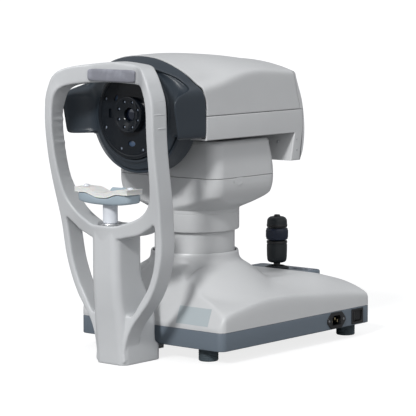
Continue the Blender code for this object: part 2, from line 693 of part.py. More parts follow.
def make_chinrest_frame():
    slot_left = [(-x, z) for x, z in reversed(FRAME_SLOT)]
    outlines = [mirrored(FRAME_OUTER), mirrored(FRAME_WINDOW), list(FRAME_SLOT), slot_left]
    mesh = slab_mesh("chinrest_frame", outlines, FRAME_DEPTH, "XZ", edge=0.004, edge_steps=0)
    shape = bmesh.new()
    shape.from_mesh(mesh)
    bisect_grid(shape, (0.0, 0.0, 1.0), [0.05 * step for step in range(1, 7)])
    bisect_grid(shape, (0.0, 0.0, 1.0), [0.424])
    bisect_grid(shape, (1.0, 0.0, 0.0), [0.016 * step for step in range(-6, 7)])
    for vertex in shape.verts:
        vertex.co.y += frame_front(vertex.co.x, vertex.co.z) + FRAME_DEPTH / 2
    shape.to_mesh(mesh)
    shape.free()
    frame = add("chinrest_frame", mesh, "frame", "base")
    rings = []
    for height, front, back, half_x in COLUMN_RINGS:
        centre = (0.0, (front + back) / 2)
        outline = rounded_rectangle(half_x, (back - front) / 2, COLUMN_CORNER, centre, 3)
        rings.append([Vector((point.x, point.y, height)) for point in outline])
    column = add_cutter("chinrest_column", loft_mesh("chinrest_column", rings, caps=True), "base")
    boolean(frame, column, "UNION")
    post_bore = ((0.0, POST_Y, POST_BORE_BOTTOM), (0.0, POST_Y, SADDLE_TOP + 0.02))
    cut_round(frame, "post_bore", POST_RADIUS + GAP, *post_bore, "base")
    motor_bore = ((0.0, MOTOR_Y, -0.01), (0.0, MOTOR_Y, MOTOR_BORE_TOP))
    cut_round(frame, "motor_bore", MOTOR_BORE_RADIUS, *motor_bore, "base")


def make_chinrest_parts():
    profile = ((0.0, 0.100), (0.0165, 0.100), (0.0165, 0.004), (0.0, 0.004))
    turned("chinrest_motor", profile, "aluminium", "base", (0.0, MOTOR_Y, 0.0), steps=20)
    bracket = ((-0.020, -0.0036, 0.0140), (0.020, 0.0120, TRAY_BOTTOM - GAP))
    add_box("chinrest_bracket", *bracket, "steel", "base", 0.001)
    place = (0.0, POST_Y, 0.0)
    collar = ((0.0175, SADDLE_TOP + 0.0034), (0.0195, SADDLE_TOP + 0.0020), (0.0195, SADDLE_TOP + GAP),
              (POST_RADIUS + GAP, SADDLE_TOP + GAP), (POST_RADIUS + GAP, SADDLE_TOP + 0.0034))
    turned("chinrest_collar", collar, "steel", "base", place)
    post_top = CUP_BOTTOM - GAP
    post = ((0.0, post_top), (POST_RADIUS, post_top), (POST_RADIUS, 0.1300), (0.0, 0.1300))
    turned("chin_post", post, "white", "chin", place)
    make_forehead_pad()
    make_chin_cup()


PAD_HALF_X = 0.048
PAD_HALF_Z = 0.0095
PAD_Z = 0.4425
PAD_SPACE = 0.0014
PAD_THICKNESS = 0.0035


HALF_SHARES = (0.20, 0.40, 0.60, 0.77, 0.90, 0.97, 1.0)
ACROSS_SHARES = (*(-share for share in reversed(HALF_SHARES)), 0.0, *HALF_SHARES)


def across_mesh(name, half_x, section):
    """Skin the side outlines that section(x, share) gives from one end to the other."""
    rings = []
    for share in ACROSS_SHARES:
        x = half_x * share
        rings.append([Vector((x, y, z)) for y, z in section(x, share)])
    return loft_mesh(name, rings, caps=True)


def end_taper(share, power):
    """Half height of a rounded strip at share of its length, from 1 in the middle."""
    return max(1.0 - abs(share) ** power, 0.02) ** (1.0 / power)


def pad_section(x, share):
    half_z = PAD_HALF_Z * end_taper(share, 6.0)
    back = frame_front(x, PAD_Z) - PAD_SPACE
    front = back - PAD_THICKNESS
    round_off = 0.2 * half_z
    return (
        (back, PAD_Z - half_z), (back, PAD_Z + half_z), (front + 0.001, PAD_Z + half_z),
        (front, PAD_Z + half_z - round_off), (front, PAD_Z - half_z + round_off),
        (front + 0.001, PAD_Z - half_z),
    )


def make_forehead_pad():
    """A padded strip that follows the hollow front of the forehead band."""
    add("forehead_pad", across_mesh("forehead_pad", PAD_HALF_X, pad_section), "pad", "base")


CUP_HALF_X = 0.0535
CUP_HALF_Y = 0.0190
CUP_Y = -0.0915
CUP_BOTTOM = 0.2468
CUP_END_RISE = 0.0047
CUP_TOP = 0.2640
CUP_DIP = 0.0065
CUP_DIP_SPAN = (0.006, 0.034)
LOBE_X = 0.003
LOBE_SPAN = (0.012, 0.024)
LOBE_HEIGHT = 0.0150
LOBE_BACK = 0.0020
PAPER_HALF_X = 0.0542
PAPER_THICKNESS = 0.0072
PAPER_SPACE = 0.0009
PAPER_LAP = 0.0006
PAPER_BACK = 0.0036
PIN_X = 0.0450


def cup_top(x):
    """The cup's top is level at its ends and dips once in the middle, under the chin."""
    return CUP_TOP - CUP_DIP * (1.0 - smooth_step(abs(x), *CUP_DIP_SPAN))


def cup_section(x, share):
    """Side outline of the cup, with a raised lobe behind the paper in the middle."""
    half_y = CUP_HALF_Y * end_taper(share, 4.0)
    front, back = CUP_Y - half_y, CUP_Y + half_y
    bottom = CUP_BOTTOM + CUP_END_RISE * abs(share) ** 3
    top = cup_top(x)
    lobe = 1.0 - smooth_step(abs(x - LOBE_X), *LOBE_SPAN)
    return (
        (front + 0.003, bottom), (front, bottom + 0.003), (front, top - 0.001), (front + 0.001, top),
        (back - 0.0030, top), (back - 0.0020, top - 0.0003 + LOBE_HEIGHT * lobe),
        (back + LOBE_BACK * lobe, top - 0.0013 + LOBE_HEIGHT * lobe),
        (back, bottom + 0.003), (back - 0.003, bottom),
    )


def paper_section(x, share):
    bottom = cup_top(x) + PAPER_SPACE
    top = bottom + PAPER_THICKNESS
    front, back = CUP_Y - CUP_HALF_Y - PAPER_LAP, CUP_Y + CUP_HALF_Y - PAPER_BACK
    return ((front, bottom), (front, top), (back, top), (back, bottom))


def make_chin_cup():
    add("chin_cup", across_mesh("chin_cup", CUP_HALF_X, cup_section), "chin_grey", "chin")
    add("chin_paper", across_mesh("chin_paper", PAPER_HALF_X, paper_section), "paper", "chin")
    base = cup_top(PIN_X) + PAPER_SPACE + PAPER_THICKNESS + GAP
    profile = ((0.0, 0.0035), (0.0028, 0.0030), (0.0044, 0.0018), (0.0050, 0.0), (0.0, 0.0))
    for name, side in (("paper_pin_left", -1), ("paper_pin_right", 1)):
        turned(name, profile, "white", "chin", (side * PIN_X, CUP_Y - 0.002, base), steps=10)


# ---------------------------------------------------------------- pod
def pod_ring(half_x, half_y, radius, height, centre_y=POD_Y):
    outline = rounded_rectangle(half_x, half_y, radius, (0.0, centre_y), 5, 2)
    return [Vector((point.x, point.y, height)) for point in outline]


def make_pod():
    sleeve = SLEEVE_RADIUS
    tiny = 0.0001
    levels = (
        (sleeve - 0.0020, sleeve - 0.0020, SLEEVE_BOTTOM), (sleeve, sleeve, SLEEVE_BOTTOM + 0.0025),
        (sleeve, sleeve, SLEEVE_TOP),
        (0.0790, 0.0724, 0.2310), (0.0885, 0.0740, 0.2370), (0.0965, 0.0756, 0.2460),
        (0.1015, 0.0770, 0.2570), (0.1038, 0.0780, 0.2680), (POD_HALF_X, POD_HALF_Y, POD_SEAM - GAP),
    )
    rings = []
    for half_x, half_y, height in levels:
        part = smooth_step(height, SLEEVE_TOP, 0.254)
        radius = min(half_x, half_y) - tiny
        radius = radius + (POD_CORNER - radius) * part
        rings.append(pod_ring(half_x, half_y, radius, height, COLUMN_Y + (POD_Y - COLUMN_Y) * part))
    lower = add("pod_lower_shell", loft_mesh("pod_lower_shell", rings), "cover", "pod")
    solidify(lower, 0.0025)
    rings = [
        pod_ring(POD_HALF_X, POD_HALF_Y, POD_CORNER, POD_SEAM + GAP),
        pod_ring(POD_HALF_X, POD_HALF_Y, POD_CORNER, 0.305),
        pod_ring(0.1025, POD_HALF_Y - 0.0045, POD_CORNER, 0.3325, POD_Y - POD_LEAN),
        pod_ring(0.1005, POD_HALF_Y - 0.0060, POD_CORNER, POD_TOP - 0.0012, POD_Y - POD_LEAN),
        pod_ring(0.0970, POD_HALF_Y - 0.0095, POD_CORNER, POD_TOP, POD_Y - POD_LEAN),
        pod_ring(POD_OPENING[0], POD_OPENING[1], 0.008, POD_TOP, POD_OPENING_Y),
    ]
    upper = add("pod_upper_shell", loft_mesh("pod_upper_shell", rings), "cover", "pod")
    solidify(upper, 0.0025)


PLATFORM_TOP = 0.316
RAIL_TOP = 0.325
CARRIAGE_TOP = 0.3412


def make_stage():
    """Lift ram, platform and the two crossed slides that carry the head."""
    ram_top = PLATFORM_TOP - 0.006 - GAP
    ram = ((0.0, ram_top), (0.0195, ram_top), (0.0195, 0.130), (0.0, 0.130))
    turned("lift_ram", ram, "steel", "pod", (0.0, COLUMN_Y, 0.0), steps=24)
    platform = ((-0.085, 0.056, PLATFORM_TOP - 0.006), (0.085, 0.168, PLATFORM_TOP))
    add_box("pod_platform", *platform, "aluminium", "pod", 0.001)
    for name, side in (("y_rail_left", -1), ("y_rail_right", 1)):
        x = side * 0.034
        add_box(name, (x - 0.005, 0.060, PLATFORM_TOP + GAP), (x + 0.005, 0.165, RAIL_TOP), "steel", "pod")
    slide = ((-0.045, 0.070, RAIL_TOP + GAP), (0.045, 0.134, CARRIAGE_TOP))
    add_box("cross_slide", *slide, "aluminium", "carriage", 0.001)
    for name, y in (("x_rail_front", 0.080), ("x_rail_rear", 0.124)):
        rail = ((-0.045, y - 0.004, CARRIAGE_TOP + GAP), (0.045, y + 0.004, 0.3485))
        add_box(name, *rail, "steel", "carriage")


# ---------------------------------------------------------------- head
CROWN = (
    (-0.020, 0.4705), (0.030, 0.4722), (0.074, 0.4727), (0.118, 0.4708), (0.166, 0.4670), (0.220, 0.4600),
)
SIDE_CREASE = (
    (-0.010, 0.4215), (0.0425, 0.4300), (0.086, 0.4410), (0.119, 0.4460), (0.152, 0.4468), (0.220, 0.4416),
)
REAR_SLOPE = 0.285
REAR_SEAM_Y = 0.2328


def head_top_height(x, y):
    """Height of the head's crown over x, from the side crease to the middle."""
    crease = interpolate(SIDE_CREASE, y)
    crown = interpolate(CROWN, y)
    inward = 1.0 - min(abs(x) / HEAD_HALF_X, 1.0)
    rise = 1.0 - (1.0 - inward) ** 2.3
    dip = 0.07 * math.exp(-(((inward - 0.12) / 0.07) ** 2)) * (1.0 - smooth_step(y, 0.02, 0.08))
    return crease + (crown - crease) * (rise - dip)


def seam_y(x, z):
    """Where the front bezel meets the head covers: back at the sides, forward over the crown."""
    return -0.0065 * smooth_step(z, 0.400, 0.4215) - 0.0135 * smooth_step(z, 0.4215, 0.4650)


def rear_y(z):
    return REAR_SEAM_Y - REAR_SLOPE * (z - HEAD_SEAM)


ACROSS = (1.0, 0.985, 0.95, 0.90, 0.83, 0.75, 0.62, 0.46, 0.24, 0.0)


def top_cover_row(part):
    """One rib of the top cover, part of the way from the front seam to the rear seam."""
    row = []
    for side in (1, -1):
        half = []
        for level in (0.0, 0.45, 0.85):
            y = part * 0.225
            crease = interpolate(SIDE_CREASE, y)
            z = HEAD_SEAM + GAP + (crease - 0.003 - HEAD_SEAM) * level
            half.append((HEAD_HALF_X, z))
        for share in ACROSS:
            x = (HEAD_HALF_X - 0.0012) * share
            half.append((x, head_top_height(x, part * 0.225)))
        if side == -1:
            half = [(-x, z) for x, z in reversed(half[:-1])]
        row.extend(half)
    result = []
    for x, z in row:
        front = seam_y(x, z) + 3 * GAP
        back = rear_y(z) - GAP
        result.append(Vector((x, front + (back - front) * part, z)))
    return result


def make_head_top():
    rows = [top_cover_row(step / 10) for step in range(11)]
    cover = add("head_top_cover", strip_mesh("head_top_cover", rows), "cover", "head")
    solidify(cover, 0.0025)


def make_head_lower():
    profile = (
        (HEAD_FRONT, HEAD_SEAM - GAP), (HEAD_FRONT, HEAD_FLOOR), (0.2190, HEAD_FLOOR), (0.2090, HEAD_BOTTOM),
        (0.2327, HEAD_BOTTOM), (0.2395, 0.3480), (0.2395, HEAD_SEAM - GAP),
    )
    mesh = slab_mesh("head_lower_cover", [profile], 2 * HEAD_HALF_X, "YZ")
    cover = add("head_lower_cover", mesh, "cover", "head", smooth=False)
    floor, foot = HEAD_FLOOR + WALL, HEAD_BOTTOM + WALL
    inner = ((-0.02, 0.40), (-0.02, floor), (0.2217, floor), (0.2127, foot), (0.26, foot), (0.26, 0.40))
    hollow = slab_mesh("head_lower_hollow", [inner], 2 * (HEAD_HALF_X - WALL), "YZ")
    boolean(cover, add_cutter("head_lower_hollow", hollow, "head"))
    cut_box(cover, "stage_opening", (-0.093, 0.062, 0.33), (0.093, 0.142, 0.36), "head")


REAR_PROFILE = (
    (0.2235, 0.4395), (0.2300, 0.4226), (0.2420, 0.3937), (0.2484, 0.3550), (0.2475, 0.3320), (0.2428, 0.3100),
    (0.2360, HEAD_BOTTOM + 0.0004),
)


def rear_ring(x, inset):
    """Closed side outline of the rear cover at x."""
    top = head_top_height(x, 0.218)
    ring = [
        (rear_y(top) + GAP, top), (rear_y(0.410) + GAP, 0.410), (rear_y(HEAD_SEAM) + GAP, HEAD_SEAM + GAP),
        (0.2399, HEAD_SEAM), (0.2399, 0.3480), (0.2331, HEAD_BOTTOM + 0.0004),
    ]
    back = [(y - inset, z) for y, z in reversed(REAR_PROFILE)]
    back[-1] = (0.2215 - inset, top - 0.0030)
    ring.extend(back)
    return [Vector((x, y, z)) for y, z in ring]


def make_rear_cover():
    rings = []
    for share in (-1.0, -0.985, -0.93, -0.6, -0.3, 0.0, 0.3, 0.6, 0.93, 0.985, 1.0):
        inset = 0.0030 * smooth_step(abs(share), 0.96, 1.0)
        rings.append(rear_ring(share * HEAD_HALF_X, inset))
    cover = add("rear_cover", loft_mesh("rear_cover", rings, caps=True), "cover", "head")
    tilt = math.atan2(0.0184, 0.0676)
    centre = (0.0, 0.2392, 0.3888)
    pocket = box_mesh("screen_pocket", (0.124, 0.008, 0.0630))
    boolean(cover, add_cutter("screen_pocket", pocket, "head", centre, (tilt, 0.0, 0.0)))
    sunk = Matrix.Rotation(tilt, 3, "X") @ Vector((0.0, -0.0020, 0.0))
    mesh = box_mesh("display_screen", (0.1232, 0.0025, 0.0622))
    screen = add("display_screen", mesh, "screen", "head", Vector(centre) + sunk, smooth=False)
    screen.rotation_euler = (tilt, 0.0, 0.0)


# The bezel's edge where it meets the head, as its right half from the bottom of the nose ring.
RING_ANGLES = [-90.0 + 8.5 * step for step in range(9)]
WING_EDGE = (
    (0.1000, 0.3478), (0.1120, 0.3478), (0.1158, 0.3495), (0.1170, 0.3540), (0.1170, 0.3700), (0.1170, 0.3880),
    (0.1170, 0.4040), (0.1168, 0.4150), (0.1150, 0.4215), (0.1060, 0.4270), (0.0960, 0.4350), (0.0888, 0.4445),
    (0.0756, 0.4530), (0.0550, 0.4620), (0.0345, 0.4675), (0.0170, 0.4698),
)
WING_RIM = (
    -0.046, -0.059, -0.0625, -0.064, -0.067, -0.071, -0.074, -0.066, -0.022, -0.016, -0.018, -0.022,
    -0.028, -0.036, -0.041, -0.044,
)


def bezel_edge():
    """(x, z, rim y, is ring) round the bezel's edge, the right half first."""
    half = []
    for angle in RING_ANGLES:
        spot = math.radians(angle)
        half.append((NOSE_RADIUS * math.cos(spot), NOSE_Z + NOSE_RADIUS * math.sin(spot), NOSE_FRONT, 1.0))
    half.append((0.0867, 0.3482, NOSE_FRONT, 1.0))
    for (x, z), rim in zip(WING_EDGE, WING_RIM):
        half.append((x, z, rim, 0.0))
    top = [(0.0, 0.4705, -0.045, 0.0)]
    left = [(-x, z, rim, ring) for x, z, rim, ring in reversed(half[1:])]
    return half + top + left


def bezel_column(x, z, rim, ring):
    """Points across the bezel at one place on its edge, from the lens opening out and back."""
    direction = Vector((x, z - NOSE_Z))
    reach = direction.length
    direction.normalize()
    narrowing = 0.0 if ring else 0.010 * smooth_step(z, 0.425, 0.465)
    rim_reach = reach - narrowing - 0.0008
    dish = min(0.0915, 0.0745 + 0.4 * (rim_reach - 0.0745))
    back = NOSE_BACK if ring else seam_y(x, z) - GAP
    middle = dish + (rim_reach - 0.002 - dish) * 0.6
    stations = (
        (0.034, -0.0008), (0.034, -0.0250), (0.0695, -0.0250), (0.0695, -0.0355), (0.0710, -0.0370),
        (0.0745, -0.0360), (dish, -0.0310), (middle, -0.031 + (rim + 0.031) * 0.45),
        (rim_reach - 0.002, rim + 0.0012),
        (rim_reach - 0.0010, rim), (rim_reach, rim + 0.0015), ((rim_reach + reach) / 2, (rim + back) / 2),
        (reach, back), (reach - 0.004, back),
    )
    return [Vector((direction.x * radius, y, NOSE_Z + direction.y * radius)) for radius, y in stations]


def make_bezel():
    columns = [bezel_column(*spot) for spot in bezel_edge()]
    rings = [[column[station] for column in columns] for station in range(len(columns[0]))]
    bezel = add("front_bezel", loft_mesh("front_bezel", rings, wrap=True), "slate", "head")
    cut_box(bezel, "head_clearance", (-0.14, 0.0, HEAD_FLOOR - GAP), (0.14, 0.03, 0.52), "head")


def led_places(circle):
    for index in range(LED_COUNT):
        angle = 2 * math.pi * (index + 0.5) / LED_COUNT
        yield circle * math.cos(angle), NOSE_Z + circle * math.sin(angle)


def disc(name, outer, inner, front, back, finish):
    """A flat ring facing the patient, round the nose axis."""
    outline = [(outer * math.cos(a), outer * math.sin(a)) for a in circle_angles(32)]
    outlines = [outline]
    if inner > 0.0:
        outlines.append([(inner * math.cos(a), inner * math.sin(a)) for a in circle_angles(20)])
    mesh = slab_mesh(name, outlines, back - front, "XZ")
    return add(name, mesh, finish, "head", (0.0, (front + back) / 2, NOSE_Z))


def circle_angles(count):
    return [2 * math.pi * step / count for step in range(count)]


def make_led_ring(name, circle, width, front, back, tip):
    board = disc(name, circle + width, circle - width, front, back, "led")
    for index, (x, z) in enumerate(led_places(circle)):
        mesh = cylinder_mesh(f"{name}_led_{index}", 0.0016, front - tip + 0.0008, "Y", 6)
        led = add_cutter(f"{name}_led_{index}", mesh, "head", (x, (tip + front + 0.0008) / 2, z))
        boolean(board, led, "UNION")


NOSE_WINDOWS = (
    (-0.0425, NOSE_Z, 0.00485, 0.00715),
    (0.0, NOSE_Z - 0.045, 0.0075, 0.0045),
    (-0.032, NOSE_Z + 0.024, 0.0045, 0.0045),
)


def make_nose():
    plate = disc("nose_plate", PLATE_RADIUS, 0.0262, PLATE_FRONT, PLATE_FRONT + 0.0022, "gloss_black")
    radii = (LENS_BEZEL_RADIUS, LENS_RADIUS + 0.0004)
    ring = disc("lens_bezel", *radii, LENS_BEZEL_FRONT, PLATE_FRONT - GAP, "gloss_black")
    for part, circle, name in ((plate, OUTER_LED_CIRCLE, "outer"), (ring, INNER_LED_CIRCLE, "inner")):
        for index, (x, z) in enumerate(led_places(circle)):
            hole = ((x, -0.06, z), (x, -0.03, z))
            cut_round(part, f"{name}_hole_{index}", LED_HOLE_RADIUS, *hole, "head", "Y", 6)
    for index, (x, z, size_x, size_z) in enumerate(NOSE_WINDOWS):
        window = ((x - size_x, -0.06, z - size_z), (x + size_x, -0.03, z + size_z))
        cut_box(plate, f"window_{index}", *window, "head")
    disc("objective_lens", LENS_RADIUS, 0.0, -0.0440, -0.0412, "glass")
    make_led_ring("inner_led_ring", INNER_LED_CIRCLE, 0.005, -0.0396, -0.0380, -0.0468)
    make_led_ring("outer_led_ring", OUTER_LED_CIRCLE, 0.005, -0.0372, -0.0356, -0.0386)
    tube = ((BARREL_RADIUS, 0.1065), (BARREL_RADIUS, 0.0), (0.029, 0.0), (0.029, 0.1065))
    turned("optics_barrel", tube, "aluminium", "head", (0.0, 0.0700, NOSE_Z), axis="Y")
    bench = add_box("optical_bench", (-0.105, 0.014, 0.3492), (0.105, 0.200, 0.3530), "aluminium", "head")
    cut_box(bench, "barrel_notch", (-0.036, 0.0, 0.34), (0.036, 0.0775, 0.36), "head")


def make_head():
    make_head_top()
    make_head_lower()
    make_rear_cover()
    make_bezel()
    make_nose()


def make_instrument():
    make_tray()
    make_feet()
    make_base_cover()
    make_console()
    make_inlet()
    make_switch()
    make_base_contents()
    make_joystick()
    make_chinrest_frame()
    make_chinrest_parts()
    make_pod()
    make_stage()
    make_head()


make_instrument()
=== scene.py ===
"""Looks of a tabletop auto refractometer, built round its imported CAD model."""
import json
import math

import bmesh
import bpy
from mathutils import Matrix, Vector


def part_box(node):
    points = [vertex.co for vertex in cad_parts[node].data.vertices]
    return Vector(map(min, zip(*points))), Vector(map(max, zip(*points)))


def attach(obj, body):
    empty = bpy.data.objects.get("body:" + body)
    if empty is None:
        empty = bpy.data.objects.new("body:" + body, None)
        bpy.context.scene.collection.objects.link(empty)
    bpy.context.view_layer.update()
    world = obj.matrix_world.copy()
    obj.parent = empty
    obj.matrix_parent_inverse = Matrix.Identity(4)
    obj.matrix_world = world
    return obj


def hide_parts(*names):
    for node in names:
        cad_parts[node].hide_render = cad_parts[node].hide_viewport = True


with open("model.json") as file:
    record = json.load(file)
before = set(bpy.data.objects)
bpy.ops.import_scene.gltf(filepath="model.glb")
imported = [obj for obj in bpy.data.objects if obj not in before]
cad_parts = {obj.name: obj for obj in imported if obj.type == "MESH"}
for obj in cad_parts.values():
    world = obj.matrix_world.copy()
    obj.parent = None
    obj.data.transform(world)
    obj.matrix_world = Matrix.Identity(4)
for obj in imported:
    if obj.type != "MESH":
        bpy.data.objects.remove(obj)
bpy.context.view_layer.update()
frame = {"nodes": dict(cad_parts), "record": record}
SCENE = bpy.context.scene

# The shapes below are written with y = 0 at the tray's front face, and moved to the frame by SHIFT.
SHIFT = Vector((0.0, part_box("base_tray")[0][1], 0.0))
GAP = 0.0003


# ---------------------------------------------------------------- camera, light and floor
CAMERA_AZIMUTH = math.radians(39.894)
CAMERA_ELEVATION = math.radians(6.3185)
CAMERA_PLACE = (2.2456, -2.6756, 0.609)
CAMERA_LENS = 189.8
SENSOR_WIDTH = 36.0
FAR_CLIP = 200.0
FLOOR_HALF = 60.0


def linked(name, data):
    """A new object in the scene."""
    holder = bpy.data.objects.new(name, data)
    SCENE.collection.objects.link(holder)
    return holder


def aim(holder, direction):
    holder.rotation_euler = Vector(direction).to_track_quat("-Z", "Y").to_euler()


def make_camera():
    camera = bpy.data.cameras.new("camera")
    camera.lens = CAMERA_LENS
    camera.sensor_width = SENSOR_WIDTH
    camera.clip_end = FAR_CLIP
    holder = linked("camera", camera)
    level = math.cos(CAMERA_ELEVATION)
    across, along = -math.sin(CAMERA_AZIMUTH) * level, math.cos(CAMERA_AZIMUTH) * level
    aim(holder, (across, along, -math.sin(CAMERA_ELEVATION)))
    holder.location = CAMERA_PLACE
    SCENE.camera = holder


def make_sun(name, source, strength, spread):
    """A soft far light; source is the way from the instrument to it."""
    lamp = bpy.data.lights.new(name, "SUN")
    lamp.energy = strength
    lamp.angle = math.radians(spread)
    aim(linked(name, lamp), -Vector(source))


def make_softbox(name, place, target, size, power):
    lamp = bpy.data.lights.new(name, "AREA")
    lamp.shape = "RECTANGLE"
    lamp.size, lamp.size_y = size
    lamp.energy = power
    holder = linked(name, lamp)
    holder.location = place
    aim(holder, Vector(target) - Vector(place))


def make_studio():
    make_sun("overhead", (-0.15, 0.25, 1.0), 0.14, 60.0)
    make_sun("key", (0.25, -0.97, 0.72), 2.02, 8.0)
    make_sun("fill", (0.85, -0.2, 0.55), 0.62, 80.0)
    make_softbox("window", (-1.6, -2.2, 1.1), (0.0, -0.1, 0.35), (0.7, 1.4), 2.0)
    world = bpy.data.worlds.new("studio")
    SCENE.world = world
    world.use_nodes = True
    background = world.node_tree.nodes["Background"]
    background.inputs["Color"].default_value = (0.95, 0.97, 1.0, 1.0)
    background.inputs["Strength"].default_value = 0.44
    SCENE.view_settings.view_transform = "Standard"


def make_floor():
    shape = bmesh.new()
    bmesh.ops.create_grid(shape, x_segments=8, y_segments=8, size=FLOOR_HALF)
    mesh = bpy.data.meshes.new("floor")
    shape.to_mesh(mesh)
    shape.free()
    mesh.materials.append(floor_material())
    linked("floor", mesh)


# ---------------------------------------------------------------- materials
def new_material(name, colour, roughness, **settings):
    """A material with its node tree and shader; settings are inputs such as coat_weight."""
    material = bpy.data.materials.new(name)
    material.use_nodes = True
    shader = material.node_tree.nodes["Principled BSDF"]
    shader.inputs["Base Color"].default_value = (*colour, 1.0)
    shader.inputs["Roughness"].default_value = roughness
    for key, value in settings.items():
        shader.inputs[key.replace("_", " ").title().replace("Ior", "IOR")].default_value = value
    return material, material.node_tree, shader


def paint(tree, shader, factor, first, second):
    """Drive the base colour between two colours."""
    tree.links.new(tint(tree, factor, first, second), shader.inputs["Base Color"])


def polish(tree, shader, factor, low, high):
    """Drive the roughness between two levels."""
    tree.links.new(remap(tree, factor, low, high), shader.inputs["Roughness"])


def noise(tree, scale, detail=3.0, stretch=(1.0, 1.0, 1.0)):
    """Noise in the object's own metres; scale is the number of lumps to a metre."""
    where = tree.nodes.new("ShaderNodeTexCoord")
    mapping = tree.nodes.new("ShaderNodeMapping")
    mapping.inputs["Scale"].default_value = stretch
    texture = tree.nodes.new("ShaderNodeTexNoise")
    texture.inputs["Scale"].default_value = scale
    texture.inputs["Detail"].default_value = detail
    tree.links.new(where.outputs["Object"], mapping.inputs["Vector"])
    tree.links.new(mapping.outputs["Vector"], texture.inputs["Vector"])
    return texture.outputs["Fac"]


def remap(tree, value, low, high, start=0.3, stop=0.7):
    node = tree.nodes.new("ShaderNodeMapRange")
    for socket, number in (
        ("From Min", start), ("From Max", stop), ("To Min", low), ("To Max", high)
    ):
        node.inputs[socket].default_value = number
    tree.links.new(value, node.inputs["Value"])
    return node.outputs["Result"]


def tint(tree, factor, first, second):
    node = tree.nodes.new("ShaderNodeMix")
    node.data_type = "RGBA"
    tree.links.new(factor, node.inputs["Factor"])
    for socket, colour in (("A", first), ("B", second)):
        inputs = [item for item in node.inputs if item.name == socket and item.type == "RGBA"]
        if isinstance(colour, tuple):
            inputs[0].default_value = (*colour, 1.0)
        else:
            tree.links.new(colour, inputs[0])
    return [item for item in node.outputs if item.type == "RGBA"][0]


def bumps(tree, shader, layers):
    """Stack bump layers: (height socket, strength, distance in metres)."""
    normal = None
    for height, strength, distance in layers:
        node = tree.nodes.new("ShaderNodeBump")
        node.inputs["Strength"].default_value = strength
        node.inputs["Distance"].default_value = distance
        tree.links.new(height, node.inputs["Height"])
        if normal is not None:
            tree.links.new(normal, node.inputs["Normal"])
        normal = node.outputs["Normal"]
    tree.links.new(normal, shader.inputs["Normal"])


def scaled(colour, factor):
    return tuple(channel * factor for channel in colour)


SOFT_COAT = 0.12


def plastic(name, colour, roughness, grain=1400.0, depth=0.00004, wear=0.05, coat=0.0):
    """Moulded plastic: fine spark grain, faint mottling, worn edges and uneven gloss."""
    material, tree, shader = new_material(
        name, colour, roughness, coat_weight=coat, coat_roughness=SOFT_COAT
    )
    mottle = remap(tree, noise(tree, 9.0), 0.0, 1.0)
    base = tint(tree, mottle, scaled(colour, 0.97), scaled(colour, 1.02))
    edges = tree.nodes.new("ShaderNodeNewGeometry").outputs["Pointiness"]
    worn = remap(tree, edges, 0.0, wear, 0.52, 0.6)
    bare = tuple(min(channel * 1.25 + 0.03, 1.0) for channel in colour)
    paint(tree, shader, worn, base, bare)
    polish(tree, shader, noise(tree, 35.0), roughness - 0.035, roughness + 0.045)
    grains, waves = noise(tree, grain, 2.0), noise(tree, 22.0, 2.0)
    bumps(tree, shader, ((grains, 0.35, depth), (waves, 0.12, 0.00025)))
    return material


def metal(name, colour, roughness, stretch):
    """Machined metal with fine tool lines along one way."""
    material, tree, shader = new_material(name, colour, roughness, metallic=1.0)
    lines = noise(tree, 260.0, 4.0, stretch)
    paint(tree, shader, lines, scaled(colour, 0.86), scaled(colour, 1.06))
    polish(tree, shader, lines, roughness - 0.08, roughness + 0.1)
    bumps(tree, shader, ((lines, 0.18, 0.00005),))
    return material


def gloss_black(name, colour):
    """Polished dark plastic with faint smears."""
    material, tree, shader = new_material(
        name, colour, 0.16, specular_ior_level=0.3, coat_weight=0.25, coat_roughness=SOFT_COAT
    )
    polish(tree, shader, noise(tree, 26.0, 5.0), 0.11, 0.24)
    paint(tree, shader, noise(tree, 60.0), colour, scaled(colour, 1.5))
    bumps(tree, shader, ((noise(tree, 500.0, 2.0), 0.05, 0.00003),))
    return material


def rubber(name, colour, roughness=0.72):
    material, tree, shader = new_material(name, colour, roughness)
    dust = remap(tree, noise(tree, 70.0, 6.0), 0.0, 0.35, 0.45, 0.75)
    paint(tree, shader, dust, colour, scaled(colour, 2.2))
    polish(tree, shader, noise(tree, 90.0), roughness - 0.08, roughness + 0.1)
    bumps(tree, shader, ((noise(tree, 900.0, 3.0), 0.4, 0.00008),))
    return material


def paper_material():
    colour = (0.84, 0.83, 0.8)
    material, tree, shader = new_material(
        "paper", colour, 0.9, subsurface_weight=0.1, subsurface_scale=0.002
    )
    fibres = noise(tree, 420.0, 6.0, (1.0, 0.25, 1.0))
    paint(tree, shader, fibres, scaled(colour, 0.95), (0.9, 0.89, 0.87))
    bumps(tree, shader, ((fibres, 0.5, 0.0001), (noise(tree, 60.0), 0.3, 0.0006)))
    return material


def glass_material(name, colour):
    """Dark coated optical glass."""
    material, tree, shader = new_material(
        name, colour, 0.04, coat_weight=1.0, coat_roughness=0.03, coat_tint=(0.8, 0.86, 1.0, 1.0)
    )
    polish(tree, shader, noise(tree, 40.0, 4.0), 0.025, 0.07)
    paint(tree, shader, noise(tree, 30.0), colour, scaled(colour, 1.6))
    return material


def board_material():
    """Circuit board: green lacquer with a grid of copper tracks under it."""
    material, tree, shader = new_material("board", (0.02, 0.12, 0.05), 0.35)
    bricks = tree.nodes.new("ShaderNodeTexBrick")
    bricks.inputs["Scale"].default_value = 90.0
    bricks.inputs["Mortar Size"].default_value = 0.03
    where = tree.nodes.new("ShaderNodeTexCoord")
    tree.links.new(where.outputs["Object"], bricks.inputs["Vector"])
    paint(tree, shader, bricks.outputs["Fac"], (0.015, 0.1, 0.04), (0.05, 0.22, 0.09))
    bumps(tree, shader, ((bricks.outputs["Fac"], 0.3, 0.00008),))
    return material


